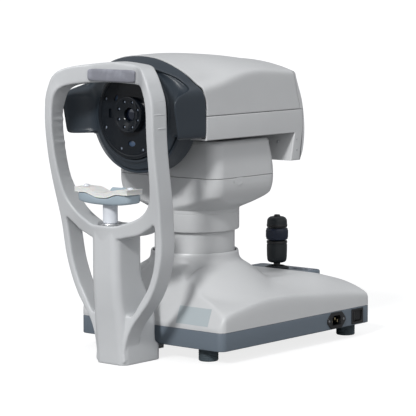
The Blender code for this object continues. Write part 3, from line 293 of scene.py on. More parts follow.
def floor_material():
    """A pale sweep that glows only for the camera, so it throws little light back up."""
    material, tree, shader = new_material(
        "floor", (0.26, 0.26, 0.26), 0.85, emission_color=(1.0, 1.0, 1.0, 1.0)
    )
    paint(tree, shader, noise(tree, 3.0), (0.255, 0.255, 0.26), (0.265, 0.265, 0.265))
    seen = tree.nodes.new("ShaderNodeLightPath").outputs["Is Camera Ray"]
    tree.links.new(remap(tree, seen, 0.0, 0.8, 0.0, 1.0), shader.inputs["Emission Strength"])
    return material


MATERIALS = {
    "cover": plastic("cover", (0.583, 0.59, 0.596), 0.36),
    "frame": plastic("frame", (0.59, 0.602, 0.613), 0.4, wear=0.03),
    "slate": plastic("slate", (0.135, 0.165, 0.198), 0.44),
    "bezel": plastic("bezel", (0.027, 0.037, 0.049), 0.4),
    "nose": gloss_black("nose", (0.0045, 0.0065, 0.0095)),
    "lens": glass_material("lens", (0.004, 0.006, 0.012)),
    "led": gloss_black("led", (0.06, 0.062, 0.07)),
    "screen": glass_material("screen", (0.01, 0.012, 0.014)),
    "pad": rubber("pad", (0.235, 0.24, 0.275), 0.62),
    "key": plastic("key", (0.24, 0.26, 0.3), 0.45, wear=0.1),
    "chin_grey": plastic("chin_grey", (0.365, 0.44, 0.495), 0.38),
    "paper": paper_material(),
    "white": plastic("white", (0.76, 0.79, 0.84), 0.3, coat=0.25),
    "rubber": rubber("rubber", (0.014, 0.017, 0.02)),
    "charcoal": plastic(
        "charcoal", (0.009, 0.013, 0.016), 0.46, grain=1000.0, depth=0.00009, wear=0.12
    ),
    "navy": plastic("navy", (0.004, 0.01, 0.03), 0.36, wear=0.15),
    "black": plastic("black", (0.012, 0.012, 0.013), 0.36, wear=0.12),
    "brass": metal("brass", (0.78, 0.66, 0.42), 0.28, (1.0, 8.0, 8.0)),
    "steel": metal("steel", (0.56, 0.57, 0.59), 0.3, (1.0, 9.0, 1.0)),
    "aluminium": metal("aluminium", (0.66, 0.67, 0.69), 0.38, (9.0, 1.0, 1.0)),
    "board": board_material(),
}
FOOT_RUBBER = rubber("foot_rubber", (0.055, 0.074, 0.086))
LABEL = plastic("label", (0.42, 0.47, 0.49), 0.32, wear=0.0)
WINDOW_GLASS = glass_material("window_glass", (0.06, 0.09, 0.13))
LAMP_DOME = glass_material("lamp_dome", (0.3, 0.32, 0.34))


# ---------------------------------------------------------------- curves and numbers
TINY = 1e-9


def tenths(*rows):
    """Rows of lengths in tenths of a millimetre, turned into metres."""
    return [tuple(value / 10000 for value in row) for row in rows]


def between(ends, count):
    """Even places from the first of two numbers to the second, in count steps."""
    low, high = ends
    return [low + (high - low) * step / count for step in range(count + 1)]


def cosine_shares(count):
    """Places from -1 to 1, closest together at the ends."""
    return [-math.cos(math.pi * step / count) for step in range(count + 1)]


def end_taper(share, power):
    """The width left at a share of the length: full in the middle, round at the ends."""
    return max(1.0 - abs(share) ** power, 0.0004) ** (1.0 / power)


def arc(centre_r, centre_z, radius, start, stop, steps):
    """Profile points on an arc in the (radius, height) plane, angles in degrees from outwards."""
    points = []
    for step in range(steps + 1):
        angle = math.radians(start + (stop - start) * step / steps)
        points.append((centre_r + radius * math.cos(angle), centre_z + radius * math.sin(angle)))
    return points


def at_x(x, section):
    """A flat (y, z) section as points of one x."""
    return [Vector((x, y, z)) for y, z in section]


def at_height(outline, height):
    """A flat outline as points of one height."""
    return [Vector((point.x, point.y, height)) for point in outline]


def smooth_step(value, low, high):
    part = min(max((value - low) / (high - low), 0.0), 1.0)
    return part * part * (3.0 - 2.0 * part)


def soft_min(values, blend):
    """The least of some heights, rounded where they cross."""
    least = min(values)
    return least - blend * math.log(sum(math.exp((least - value) / blend) for value in values))


def hermite(t, first, start, second, stop):
    """Cubic from first to second, leaving at the slope start and arriving at the slope stop."""
    return (
        first * (2 * t ** 3 - 3 * t ** 2 + 1) + start * (t ** 3 - 2 * t ** 2 + t)
        + second * (3 * t ** 2 - 2 * t ** 3) + stop * (t ** 3 - t ** 2)
    )


def spline_at(points, value):
    """Smooth curve through (place, height) pairs, level past its ends."""
    if value <= points[0][0]:
        return points[0][1]
    for index, ((low, first), (high, second)) in enumerate(zip(points, points[1:])):
        if value <= high:
            before = points[max(index - 1, 0)]
            after = points[min(index + 2, len(points) - 1)]
            span = high - low
            start = (second - before[1]) / max(high - before[0], TINY) * span
            stop = (after[1] - first) / max(after[0] - low, TINY) * span
            return hermite((value - low) / span, first, start, second, stop)
    return points[-1][1]


def spline_loop(points, cuts):
    """Smooth closed curve through points, with cuts pieces between each pair."""
    points = [Vector(point) for point in points]
    result = []
    for index, point in enumerate(points):
        before, after = points[index - 1], points[(index + 1) % len(points)]
        beyond = points[(index + 2) % len(points)]
        reach = (after - point).length
        start = (after - before) * (
            reach / max((after - point).length + (point - before).length, TINY)
        )
        stop = (beyond - point) * (reach / max((beyond - after).length + reach, TINY))
        result.extend(hermite(step / cuts, point, start, after, stop) for step in range(cuts))
    return result


def mirrored(half):
    """A closed outline from its right half, listed from the bottom to the top."""
    return list(half) + [(-x, z) for x, z in reversed(half) if x > 0.0]


def soften(points, rounds):
    """Even out a line of points; its ends stay."""
    for _ in range(rounds):
        inner = [
            (before + after) * 0.25 + point * 0.5
            for before, point, after in zip(points, points[1:], points[2:])
        ]
        points = [points[0], *inner, points[-1]]
    return points


def rounded_rectangle(half_x, half_y, radius, centre=(0.0, 0.0), corner_steps=8, side_steps=1):
    signs = ((1, 1), (-1, 1), (-1, -1), (1, -1))
    points = []
    for corner, (sign_x, sign_y) in enumerate(signs):
        for step in range(corner_steps + 1):
            angle = math.pi / 2 * (corner + step / corner_steps)
            x = centre[0] + sign_x * (half_x - radius) + radius * math.cos(angle)
            y = centre[1] + sign_y * (half_y - radius) + radius * math.sin(angle)
            points.append(Vector((x, y)))
    result = []
    for index, point in enumerate(points):
        result.append(point)
        following = points[(index + 1) % len(points)]
        if (index + 1) % (corner_steps + 1) == 0:
            for cut in range(1, side_steps):
                result.append(point.lerp(following, cut / side_steps))
    return result


# ---------------------------------------------------------------- mesh helpers
WALL = 0.0025
MERGE_DISTANCE = 0.000002
OUTLINE_MERGE = 0.00001
QUARTER = math.pi / 2


def turned(angle, axis):
    return Matrix.Rotation(angle, 4, axis)


def mesh_from_bmesh(name, shape):
    bmesh.ops.remove_doubles(shape, verts=shape.verts, dist=MERGE_DISTANCE)
    bmesh.ops.recalc_face_normals(shape, faces=shape.faces)
    mesh = bpy.data.meshes.new(name)
    shape.to_mesh(mesh)
    shape.free()
    return mesh


def sheet_mesh(name, rows_of_points, closed_rows=False, wrap=False, caps=False):
    """Skin rows of equal length; caps closes the first and last rows."""
    shape = bmesh.new()
    rows = [[shape.verts.new(point) for point in row] for row in rows_of_points]
    pairs = list(zip(rows, rows[1:]))
    if wrap:
        pairs.append((rows[-1], rows[0]))
    count = len(rows[0])
    for lower, upper in pairs:
        for index in range(count if closed_rows else count - 1):
            following = (index + 1) % count
            shape.faces.new((lower[index], lower[following], upper[following], upper[index]))
    if caps:
        shape.faces.new(rows[0])
        shape.faces.new(rows[-1])
    return mesh_from_bmesh(name, shape)


def turned_mesh(name, profile, steps=64, axis="Z", wave=None):
    """Turn a profile of (radius, height) about Z or Y; off the axis it is closed into a ring."""
    ends_on_axis = profile[0][0] == 0.0
    rows = []
    for step in range(steps):
        angle = 2 * math.pi * step / steps
        row = []
        for radius, height in profile:
            reach = radius * (wave(angle, height) if wave else 1.0)
            row.append(Vector((reach * math.cos(angle), reach * math.sin(angle), height)))
        rows.append(row)
    mesh = sheet_mesh(name, rows, closed_rows=not ends_on_axis, wrap=True)
    if axis == "Y":
        mesh.transform(turned(QUARTER, "X"))
    return mesh


PLANE_TURNS = {
    "XY": Matrix(),
    "XZ": turned(QUARTER, "X"),
    "YZ": Matrix(((0, 0, 1, 0), (1, 0, 0, 0), (0, 1, 0, 0), (0, 0, 0, 1))),
}


def slab_mesh(name, outlines, thickness, plane="XY", edge=0.0, edge_steps=3):
    """A plate from flat outlines, the first its edge and the others holes, with round edges."""
    curve = bpy.data.curves.new(name, "CURVE")
    curve.dimensions = "2D"
    curve.fill_mode = "BOTH"
    curve.extrude = thickness / 2 - edge
    curve.bevel_depth = edge
    curve.bevel_resolution = edge_steps
    curve.offset = -edge
    for outline in outlines:
        spline = curve.splines.new("POLY")
        spline.points.add(len(outline) - 1)
        for point, spot in zip(spline.points, outline):
            point.co = (spot[0], spot[1], 0.0, 1.0)
        spline.use_cyclic_u = True
    guide = linked(name, curve)
    flat = evaluated_mesh(guide)
    bpy.data.objects.remove(guide, do_unlink=True)
    shape = bmesh.new()
    shape.from_mesh(flat)
    bpy.data.meshes.remove(flat)
    bmesh.ops.remove_doubles(shape, verts=shape.verts, dist=OUTLINE_MERGE)
    bmesh.ops.transform(shape, matrix=PLANE_TURNS[plane], verts=shape.verts)
    return mesh_from_bmesh(name, shape)


def evaluated_mesh(holder):
    bpy.context.view_layer.update()
    evaluated = holder.evaluated_get(bpy.context.evaluated_depsgraph_get())
    return bpy.data.meshes.new_from_object(evaluated)


def rod_mesh(name, radius, low, high, steps, axis="Z"):
    """A plain cylinder, to cut with."""
    return turned_mesh(name, [(0.0, high), (radius, high), (radius, low), (0.0, low)], steps, axis)


def moved(mesh, place=(0.0, 0.0, 0.0), turn=None):
    if turn is not None:
        mesh.transform(turn)
    mesh.transform(Matrix.Translation(Vector(place)))
    return mesh


def joined(name, meshes):
    shape = bmesh.new()
    for mesh in meshes:
        shape.from_mesh(mesh)
        bpy.data.meshes.remove(mesh)
    mesh = bpy.data.meshes.new(name)
    shape.to_mesh(mesh)
    shape.free()
    return mesh


def box_mesh(name, low, high, edge=0.0):
    low, high = Vector(low), Vector(high)
    shape = bmesh.new()
    bmesh.ops.create_cube(shape, size=1.0)
    bmesh.ops.scale(shape, vec=high - low, verts=shape.verts)
    bmesh.ops.translate(shape, vec=(low + high) / 2, verts=shape.verts)
    if edge > 0.0:
        edges = shape.edges[:]
        bmesh.ops.bevel(shape, geom=edges, offset=edge, segments=3, profile=0.5, affect="EDGES")
    return mesh_from_bmesh(name, shape)


def with_modifiers(mesh, *steps):
    """The mesh after some modifiers: each step is (type, settings)."""
    holder = linked("work", mesh)
    for kind, settings in steps:
        modifier = holder.modifiers.new(kind.lower(), kind)
        for key, value in settings.items():
            setattr(modifier, key, value)
    result = evaluated_mesh(holder)
    bpy.data.objects.remove(holder, do_unlink=True)
    return result


def cut(mesh, *cutters, operation="DIFFERENCE"):
    """Subtract or add other meshes, one after the other."""
    for cutter in cutters:
        tool = linked("tool", cutter)
        mesh = with_modifiers(
            mesh, ("BOOLEAN", {"operation": operation, "solver": "EXACT", "object": tool})
        )
        bpy.data.objects.remove(tool, do_unlink=True)
    return mesh


def shelled(mesh, thickness=WALL):
    return with_modifiers(
        mesh, ("SOLIDIFY", {"thickness": thickness, "offset": -1.0, "use_even_offset": True})
    )


def subdivided(mesh, levels):
    return with_modifiers(mesh, ("SUBSURF", {"levels": levels, "render_levels": levels}))


def rounded(mesh, width, angle=40.0):
    settings = {
        "width": width, "segments": 2, "limit_method": "ANGLE", "angle_limit": math.radians(angle),
        "harden_normals": False, "use_clamp_overlap": True,
    }
    return with_modifiers(mesh, ("BEVEL", settings))


def put(name, mesh, slot, body, replaces=(), sharp=32.0, material=None):
    """Add a finished piece: its material, body, slot and the CAD nodes that it stands for."""
    mesh.transform(Matrix.Translation(SHIFT))
    mesh.name = name
    mesh.materials.clear()
    mesh.materials.append(material or MATERIALS[slot])
    mesh.shade_smooth()
    mesh.set_sharp_from_angle(angle=math.radians(sharp))
    piece = linked(name, mesh)
    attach(piece, body)
    if replaces:
        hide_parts(*replaces)
    return piece


def screw_head(radius, cross=True):
    """A pan-head screw with a cross recess, looking along +Z."""
    profile = [(0.0, radius * 0.55), (radius * 0.6, radius * 0.5), (radius * 0.92, radius * 0.26),
               (radius, 0.0), (radius, -radius * 0.4), (0.0, -radius * 0.4)]
    head = turned_mesh("screw", profile, 24)
    if not cross:
        return head
    arm, width, depth = radius * 0.6, radius * 0.14, radius * 0.25
    bars = [((-arm, -width), (arm, width)), ((-width, -arm), (width, arm))]
    for low, high in bars:
        head = cut(head, box_mesh("slot", (*low, depth), (*high, radius)))
    return head


# ---------------------------------------------------------------- base
TRAY_HALF_X, TRAY_DEPTH = 0.148, 0.382
TRAY_BOTTOM, TRAY_TOP = 0.0217, 0.0506
TRAY_CORNER = 0.012
COLUMN_Y = 0.11
COLLAR_TOP = 0.1594
FRONT_SILL, FRONT_RISE = 0.0565, 2.45
REAR_SILL, REAR_RISE = 0.076, 1.6
SHOULDER_WIDTH = 0.062
DECK_PLACES = tenths(
    (0, 1000), (200, 1010), (600, 1035), (1000, 1075), (1500, 1100), (2850, 1100), (3100, 1065),
    (3300, 1015), (3640, 925), (3820, 860),
)
CREASE_PLACES = tenths(
    (0, 660), (109, 734), (253, 782), (567, 837), (992, 894), (1450, 900), (1827, 884), (2200, 840),
    (2600, 800), (3000, 770), (3400, 740), (3820, 700),
)
FLARE = tenths(
    (705, 1488), (731, 1436), (904, 1323), (1000, 1250), (1120, 1150), (1250, 1030), (1400, 880),
    (1650, 600), (2200, 300), (4000, 0),
)
NECK = 0.0705
PANEL_TOP = 0.1045
PANEL_Y = 0.333
# How softly the base cover's surfaces run into each other.
REAR_BLEND, FLARE_BLEND, SILL_BLEND = 0.0025, 0.0028, 0.0018
VALLEY_DEPTH = 0.008
CORNER_POWER = 0.4
NECK_STEPS = 70
VENT_ROWS, VENT_PITCH, VENT_X, VENT_Y = 9, 0.01, 0.062, 0.185


def base_cover_height(x, y):
    """Top surface of the base cover."""
    deck = spline_at(DECK_PLACES, y)
    crease = spline_at(CREASE_PLACES, y)
    fullness = 1.3 + smooth_step(y, 0.18, 0.28)
    inset = min((TRAY_HALF_X - abs(x)) / SHOULDER_WIDTH, 1.0)
    side = crease + (deck - crease) * (1.0 - (1.0 - inset) ** fullness)
    rear = REAR_SILL + (TRAY_DEPTH - y) * REAR_RISE
    top = soft_min((side, rear), REAR_BLEND)
    flare = spline_at(FLARE, math.hypot(x, y - COLUMN_Y))
    body = -soft_min((-top, -flare), FLARE_BLEND)
    middle = 0.034 + 0.015 * min(y / 0.02, 1.0)
    width = 0.0095 - 0.0025 * min(y / 0.03, 1.0)
    valley = VALLEY_DEPTH * math.exp(-(((abs(x) - middle) / width) ** 2))
    body -= valley * smooth_step(y, 0.0, 0.01) * (1.0 - smooth_step(y, 0.06, 0.1))
    return soft_min((body, FRONT_SILL + FRONT_RISE * y), SILL_BLEND)


def tray_outline(inset, corner_steps, side_steps=1):
    """The base in plan: round corners in front and squarer ones behind."""
    radius = TRAY_CORNER - inset
    middle = (0.0, TRAY_DEPTH / 2)
    points = rounded_rectangle(
        TRAY_HALF_X - inset, TRAY_DEPTH / 2 - inset, radius, middle, corner_steps, side_steps
    )
    for point in points:
        side = math.copysign(1.0, point.x)
        across = (abs(point.x) - TRAY_HALF_X + TRAY_CORNER) / radius
        back = (point.y - TRAY_DEPTH + TRAY_CORNER) / radius
        if across > 0.0 and back > 0.0:
            point.x = side * (TRAY_HALF_X - TRAY_CORNER + radius * across ** CORNER_POWER)
            point.y = TRAY_DEPTH - TRAY_CORNER + radius * back ** CORNER_POWER
    return points


def make_base_cover():
    """Rows that run from the tray's edge up to the neck and the collar, all round."""
    centre = Vector((0.0, COLUMN_Y))
    rows = []
    for point in tray_outline(0.0, 14, 44):
        ray = point - centre
        length = ray.length
        foot = [Vector((point.x, point.y, TRAY_TOP + rise)) for rise in (GAP, 0.0015)]
        line = []
        edge_height = base_cover_height(*(centre + ray * ((length - 0.001) / length)))
        for level in (0.3, 0.5, 0.7, 0.85):
            line.append(Vector((point.x, point.y, TRAY_TOP + (edge_height - TRAY_TOP) * level)))
        for step in range(NECK_STEPS + 1):
            radius = NECK + (length - 0.0012 - NECK) * (1.0 - step / NECK_STEPS)
            spot = centre + ray * (radius / length)
            line.append(Vector((spot.x, spot.y, base_cover_height(spot.x, spot.y))))
        unit = ray.normalized()
        for radius, height in (
            (NECK, 0.151), (NECK, 0.1535), (NECK, COLLAR_TOP - 0.0014),
            (NECK - 0.0005, COLLAR_TOP - 0.0004), (NECK - 0.0016, COLLAR_TOP),
        ):
            spot = centre + unit * radius
            line.append(Vector((spot.x, spot.y, height)))
        rows.append(foot + soften(line, 4))
    cover = shelled(sheet_mesh("base_cover", rows, wrap=True))
    recess = rounded_rectangle(0.0647, 0.0317, 0.0107, (0.0, PANEL_Y), 8)
    cover = cut(cover, moved(slab_mesh("console_hole", [recess], 0.05), (0.0, 0.0, PANEL_TOP)))
    put("base_cover_shell", cover, "cover", "base", ("base_cover",), sharp=28.0)


def make_tray():
    """The tray: hollow above, with vents below and holes for the inlet and the switch."""
    middle = (TRAY_TOP + TRAY_BOTTOM) / 2
    tray = slab_mesh("tray", [tray_outline(0.0, 12)], TRAY_TOP - TRAY_BOTTOM, edge=0.0016)
    tray = moved(tray, (0.0, 0.0, middle))
    pocket = slab_mesh("pocket", [tray_outline(0.003, 8)], 0.04)
    cutters = [moved(pocket, (0.0, 0.0, TRAY_BOTTOM + 0.023))]
    for y, half_z in ((INLET_Y, 0.0105), (SWITCH_Y, 0.0103)):
        low, high = (0.14, y - 0.0135, INLET_Z - half_z), (0.16, y + 0.0135, INLET_Z + half_z)
        cutters.append(box_mesh("hole", low, high))
    for row in range(VENT_ROWS):
        for side in (-1, 1):
            spot = (side * VENT_X, VENT_Y + row * VENT_PITCH)
            vent = rounded_rectangle(0.024, 0.0018, 0.0017, spot, 5)
            cutters.append(moved(slab_mesh("vent", [vent], 0.02), (0.0, 0.0, TRAY_BOTTOM)))
    put("base_tray_moulding", cut(tray, *cutters), "slate", "base", ("base_tray",))
    heads = []
    turn = turned(math.pi, "X")
    for y in (0.014, 0.368, 0.19):
        for x in (-0.135, 0.135):
            heads.append(moved(screw_head(0.0032), (x, y, TRAY_BOTTOM - 0.0002), turn))
    put("tray_screws", joined("tray_screws", heads), "steel", "base")


FEET = {
    "foot_front_left": (-0.0957, 0.03), "foot_front_right": (0.0957, 0.03),
    "foot_rear_left": (-0.114, 0.3625), "foot_rear_right": (0.114, 0.3625),
}
FOOT_RADIUS, FOOT_RIDGES, RIDGE_PITCH = 0.0155, 5, 0.0028


def make_feet():
    """Rubber feet with a few ridges round them."""
    wide = FOOT_RADIUS
    profile = [(0.0, 0.0), (0.0125, 0.0), (0.0143, 0.0004), (0.0152, 0.0014), (wide, 0.0028)]
    for ridge in range(FOOT_RIDGES):
        low = 0.0045 + ridge * RIDGE_PITCH
        profile += [
            (wide, low), (0.015, low + 0.0005), (0.015, low + 0.001), (wide, low + 0.0015)
        ]
    top = TRAY_BOTTOM - GAP
    profile += [(wide, top - 0.001), (0.0148, top), (0.0, top)]
    for name, (x, y) in FEET.items():
        mesh = moved(turned_mesh(name, profile, 64), (x, y, 0.0))
        put(f"{name}_rubber", mesh, "rubber", "base", (name,), material=FOOT_RUBBER)


LABEL_X, LABEL_Z = (0.054, 0.118), (0.0585, 0.0845)


def make_label():
    """A blank rating plate that follows the sloping front of the cover."""
    rows = []
    for x in between(LABEL_X, 24):
        rows.append([
            Vector((x, (z - FRONT_SILL) / FRONT_RISE - 0.0003, z)) for z in between(LABEL_Z, 12)
        ])
    plate = shelled(sheet_mesh("rating_plate", rows), 0.0004)
    put("rating_plate", plate, "white", "base", material=LABEL)


# ---------------------------------------------------------------- inlet and switch
INLET_Y, INLET_Z = 0.29, 0.0362
SWITCH_Y, SWITCH_Z = 0.3475, 0.0364
SIDE_X = TRAY_HALF_X + GAP
RIM_THICKNESS = 0.0014
ROCKER_TILT = math.radians(6.0)


def make_inlet():
    half = tenths((135, -134), (190, -88), (240, -30), (245, 0), (240, 30), (190, 88), (135, 134))
    outline = [*half, *((-y, -z) for y, z in half)]
    flange = slab_mesh("flange", [outline], RIM_THICKNESS, "YZ", edge=0.0004)
    flange = moved(flange, (SIDE_X + RIM_THICKNESS / 2, INLET_Y, INLET_Z))
    low = (0.125, INLET_Y - 0.013, INLET_Z - 0.01)
    high = (0.1485, INLET_Y + 0.013, INLET_Z + 0.01)
    body = box_mesh("body", low, high)
    inlet = cut(flange, body, operation="UNION")
    outline = tenths((-115, -80), (115, -80), (115, 40), (75, 80), (-75, 80), (-115, 40))
    mouth = [(INLET_Y + y, INLET_Z + z) for y, z in outline]
    socket = moved(slab_mesh("socket", [mouth], 0.04, "YZ"), (0.1485, 0.0, 0.0))
    put("power_inlet_socket", cut(inlet, socket), "black", "base", ("power_inlet",))
    for name, offset_y, offset_z in (
        ("left", -0.007, -0.002), ("right", 0.007, -0.002), ("earth", 0.0, 0.002)
    ):
        low = (0.1288, INLET_Y + offset_y - 0.001, INLET_Z + offset_z - 0.002)
        high = (0.1462, INLET_Y + offset_y + 0.0011, INLET_Z + offset_z + 0.0021)
        put(
            f"pin_{name}", box_mesh("pin", low, high, 0.0005), "brass", "base",
            (f"inlet_pin_{name}",),
        )
    heads = []
    for side in (-1, 1):
        spot = (SIDE_X + 0.0004, INLET_Y + side * 0.0195, INLET_Z)
        heads.append(moved(screw_head(0.0026), spot, turned(QUARTER, "Y")))
    put("inlet_screws", joined("inlet_screws", heads), "steel", "base")


def make_switch():
    """The switch's bezel and well, and the rocker that tips in it."""
    def rim(half_y, half_z, radius, corner_steps):
        return rounded_rectangle(half_y, half_z, radius, (SWITCH_Y, SWITCH_Z), corner_steps)

    outlines = [rim(0.0155, 0.0125, 0.001, 4), rim(0.0122, 0.0088, 0.001, 4)]
    plate = slab_mesh("rim", outlines, RIM_THICKNESS, "YZ", edge=0.0004)
    plate = moved(plate, (SIDE_X + RIM_THICKNESS / 2, 0.0, 0.0))
    outlines = [rim(0.0132, 0.01, 0.0006, 3), rim(0.0122, 0.0088, 0.0006, 3)]
    walls = moved(slab_mesh("walls", outlines, 0.0122, "YZ"), (0.1424, 0.0, 0.0))
    low = (0.1336, SWITCH_Y - 0.013, SWITCH_Z - 0.0098)
    high = (0.1364, SWITCH_Y + 0.013, SWITCH_Z + 0.0098)
    back = box_mesh("back", low, high)
    put(
        "switch_surround", joined("switch_surround", [plate, walls, back]), "black", "base",
        ("switch_bezel",),
    )
    rows = []
    for step in range(13):
        share = step / 6 - 1.0
        dish = 0.0035 + 0.0022 * abs(share) ** 1.4
        upper = ((dish, 0.0077), (dish - 0.0007, 0.0084), (-0.0035, 0.0084))
        section = [*((x, -z) for x, z in reversed(upper)), *upper]
        rows.append([Vector((x, share * 0.0112, z)) for x, z in section])
    rocker = rounded(sheet_mesh("rocker", rows, closed_rows=True, caps=True), 0.0004)
    rocker = moved(rocker, (0.143, SWITCH_Y, SWITCH_Z), turned(ROCKER_TILT, "Z"))
    put("switch_paddle", rocker, "black", "rocker", ("switch_rocker",))


# ---------------------------------------------------------------- console and joystick
STICK_Y = 0.323
KEYS = {"chin_up_key": 0.026, "chin_down_key": 0.039, "print_key": 0.052}
KEY_Y, KEY_SIZE = 0.345, 0.0095


def make_console():
    outline = rounded_rectangle(0.064, 0.031, 0.01, (0.0, PANEL_Y), 12)
    panel = moved(slab_mesh("panel", [outline], 0.016, edge=0.003), (0.0, 0.0, PANEL_TOP - 0.008))
    cutters = [moved(rod_mesh("boot_hole", 0.015, -0.02, 0.02, 48), (0.0, STICK_Y, 0.1))]
    reach = KEY_SIZE / 2 + GAP
    for x in KEYS.values():
        low, high = (x - reach, KEY_Y - reach, 0.08), (x + reach, KEY_Y + reach, 0.12)
        cutters.append(box_mesh("key_hole", low, high))
    recess = rounded_rectangle(0.0215, 0.008, 0.003, (0.039, KEY_Y), 6)
    cutters.append(moved(slab_mesh("recess", [recess], 0.002), (0.0, 0.0, PANEL_TOP + 0.0004)))
    groove = [
        rounded_rectangle(half_x, half_x - 0.033, 0.007, (0.0, PANEL_Y), 8)
        for half_x in (0.0605, 0.0598)
    ]
    cutters.append(moved(slab_mesh("groove", groove, 0.001), (0.0, 0.0, PANEL_TOP)))
    put("console_plate", cut(panel, *cutters), "slate", "base", ("console_panel",))
    for name, x in KEYS.items():
        put(f"{name}_cap", key_cap(x), "key", name, (name,))


def key_cap(x):
    """A small square key with a dished top."""
    rows = []
    steps = tenths((0, -80), (0, 6), (3, 14), (9, 18), (18, 16), (32, 13))
    for inset, height in steps:
        half = KEY_SIZE / 2 - inset
        outline = rounded_rectangle(half, half, min(0.0012, half * 0.9), (x, KEY_Y), 5)
        rows.append(at_height(outline, PANEL_TOP + height))
    return sheet_mesh("key_cap", rows, closed_rows=True, caps=True)


KNURLS, KNURL_DEPTH = 56, 0.022
KNURL_LOW, KNURL_HIGH = 0.157, 0.1694


def knurl(angle, height):
    """Narrow the ring's knurled belt between its ridges."""
    dip = KNURL_DEPTH * (0.5 - 0.5 * math.cos(angle * KNURLS))
    return 1.0 - (dip if KNURL_LOW < height < KNURL_HIGH else 0.0)


def put_turned(name, profile, steps, place, slot, body, nodes=(), wave=None):
    """Add a piece that is turned about an upright axis."""
    put(name, moved(turned_mesh(name, profile, steps, wave=wave), place), slot, body, nodes)


def make_joystick():
    place = (0.0, STICK_Y, 0.0)
    boot = [(0.0107, 0.11), (0.0122, 0.11)]
    for fold in range(3):
        centre = 0.0135 + fold * 0.0022
        boot += [(centre, 0.1097 - fold * 0.0009), (centre + 0.0009, 0.1088 - fold * 0.0009)]
    boot += [
        (0.0198, 0.107), (0.0202, 0.106), (0.0202, PANEL_TOP + GAP), (0.0107, PANEL_TOP + GAP)
    ]
    put_turned("stick_bellows", boot, 72, place, "rubber", "base", ("joystick_boot",))

    shaft = tenths((0, 1725), (55, 1725), (55, 1350), (57, 1160), (55, 850), (0, 850))
    put_turned("stick_shaft", shaft, 32, place, "black", "stick", ("joystick_shaft",))

    grip = tenths(
        (59, 1520), (152, 1520), (166, 1512), (170, 1500), (170, 1478), (163, 1474), (163, 1462),
        (170, 1458), (171, 1400), (170, 1330), (167, 1250), (162, 1205), (154, 1178), (138, 1160),
        (110, 1151), (59, 1150),
    )
    put_turned("stick_grip", grip, 72, place, "charcoal", "stick", ("joystick_grip",))

    ring = tenths(
        (60, 1728), (168, 1728), (176, 1722), (180, 1708), (181, 1696), (187, 1690), (187, 1574),
        (181, 1568), (180, 1552), (176, 1542), (168, 1536), (60, 1536),
    )
    name, node = "stick_knurled_ring", "joystick_ring"
    put_turned(name, ring, KNURLS * 6, place, "navy", "stick_ring", (node,), knurl)

    cap = [
        (0.0057, 0.1845), (0.0057, 0.1917), (0.0064, 0.1921),
        *arc(0.0085, 0.1838, 0.0083, 84.0, 8.0, 10), (0.0169, 0.18), (0.0169, 0.1764),
        (0.0164, 0.176), (0.0164, 0.1752), (0.0168, 0.1748), (0.0166, 0.1745), (0.0059, 0.1745),
    ]
    bands = []
    for low, high in ((0.1476, 0.1514), (0.1756, 0.1794)):
        band = [(0.016, low), (0.0171, low), (0.0173, low + 0.0005)]
        band += [(0.0173, high - 0.0005), (0.0171, high), (0.016, high)]
        bands.append(moved(turned_mesh("band", band, 72), place))
    put("stick_bands", joined("stick_bands", bands), "black", "stick")
    put_turned("stick_cap", cap, 72, place, "charcoal", "stick", ("joystick_cap",))
    button = tenths(
        (0, 1868), (52, 1868), (52, 1938), (48, 1949), (36, 1954), (20, 1951), (0, 1949)
    )
    put_turned("stick_button_top", button, 40, place, "black", "stick_button", ("joystick_button",))


# ---------------------------------------------------------------- column and pod
POD_HALF_X, POD_HALF_Y, POD_Y, POD_CORNER = 0.1042, 0.0785, 0.1155, 0.022
POD_SEAM, POD_TOP, POD_LEAN = 0.2806, 0.3385, 0.0035
POD_SHOULDER, POD_DRAFT, POD_LEVELS = 0.331, 0.0022, 36
SLEEVE_RADIUS, SLEEVE_BOTTOM, SLEEVE_TOP = 0.0712, 0.1925, 0.227
POD_WIDTHS = tenths(
    (2270, 712), (2310, 790), (2370, 885), (2460, 965), (2570, 1015), (2680, 1038), (2806, 1042)
)
POD_DEPTHS = tenths(
    (2270, 712), (2310, 724), (2370, 740), (2460, 756), (2570, 770), (2680, 780), (2806, 785)
)


def pod_ring(half_x, half_y, radius, height, centre_y=POD_Y):
    return at_height(rounded_rectangle(half_x, half_y, radius, (0.0, centre_y), 16, 10), height)


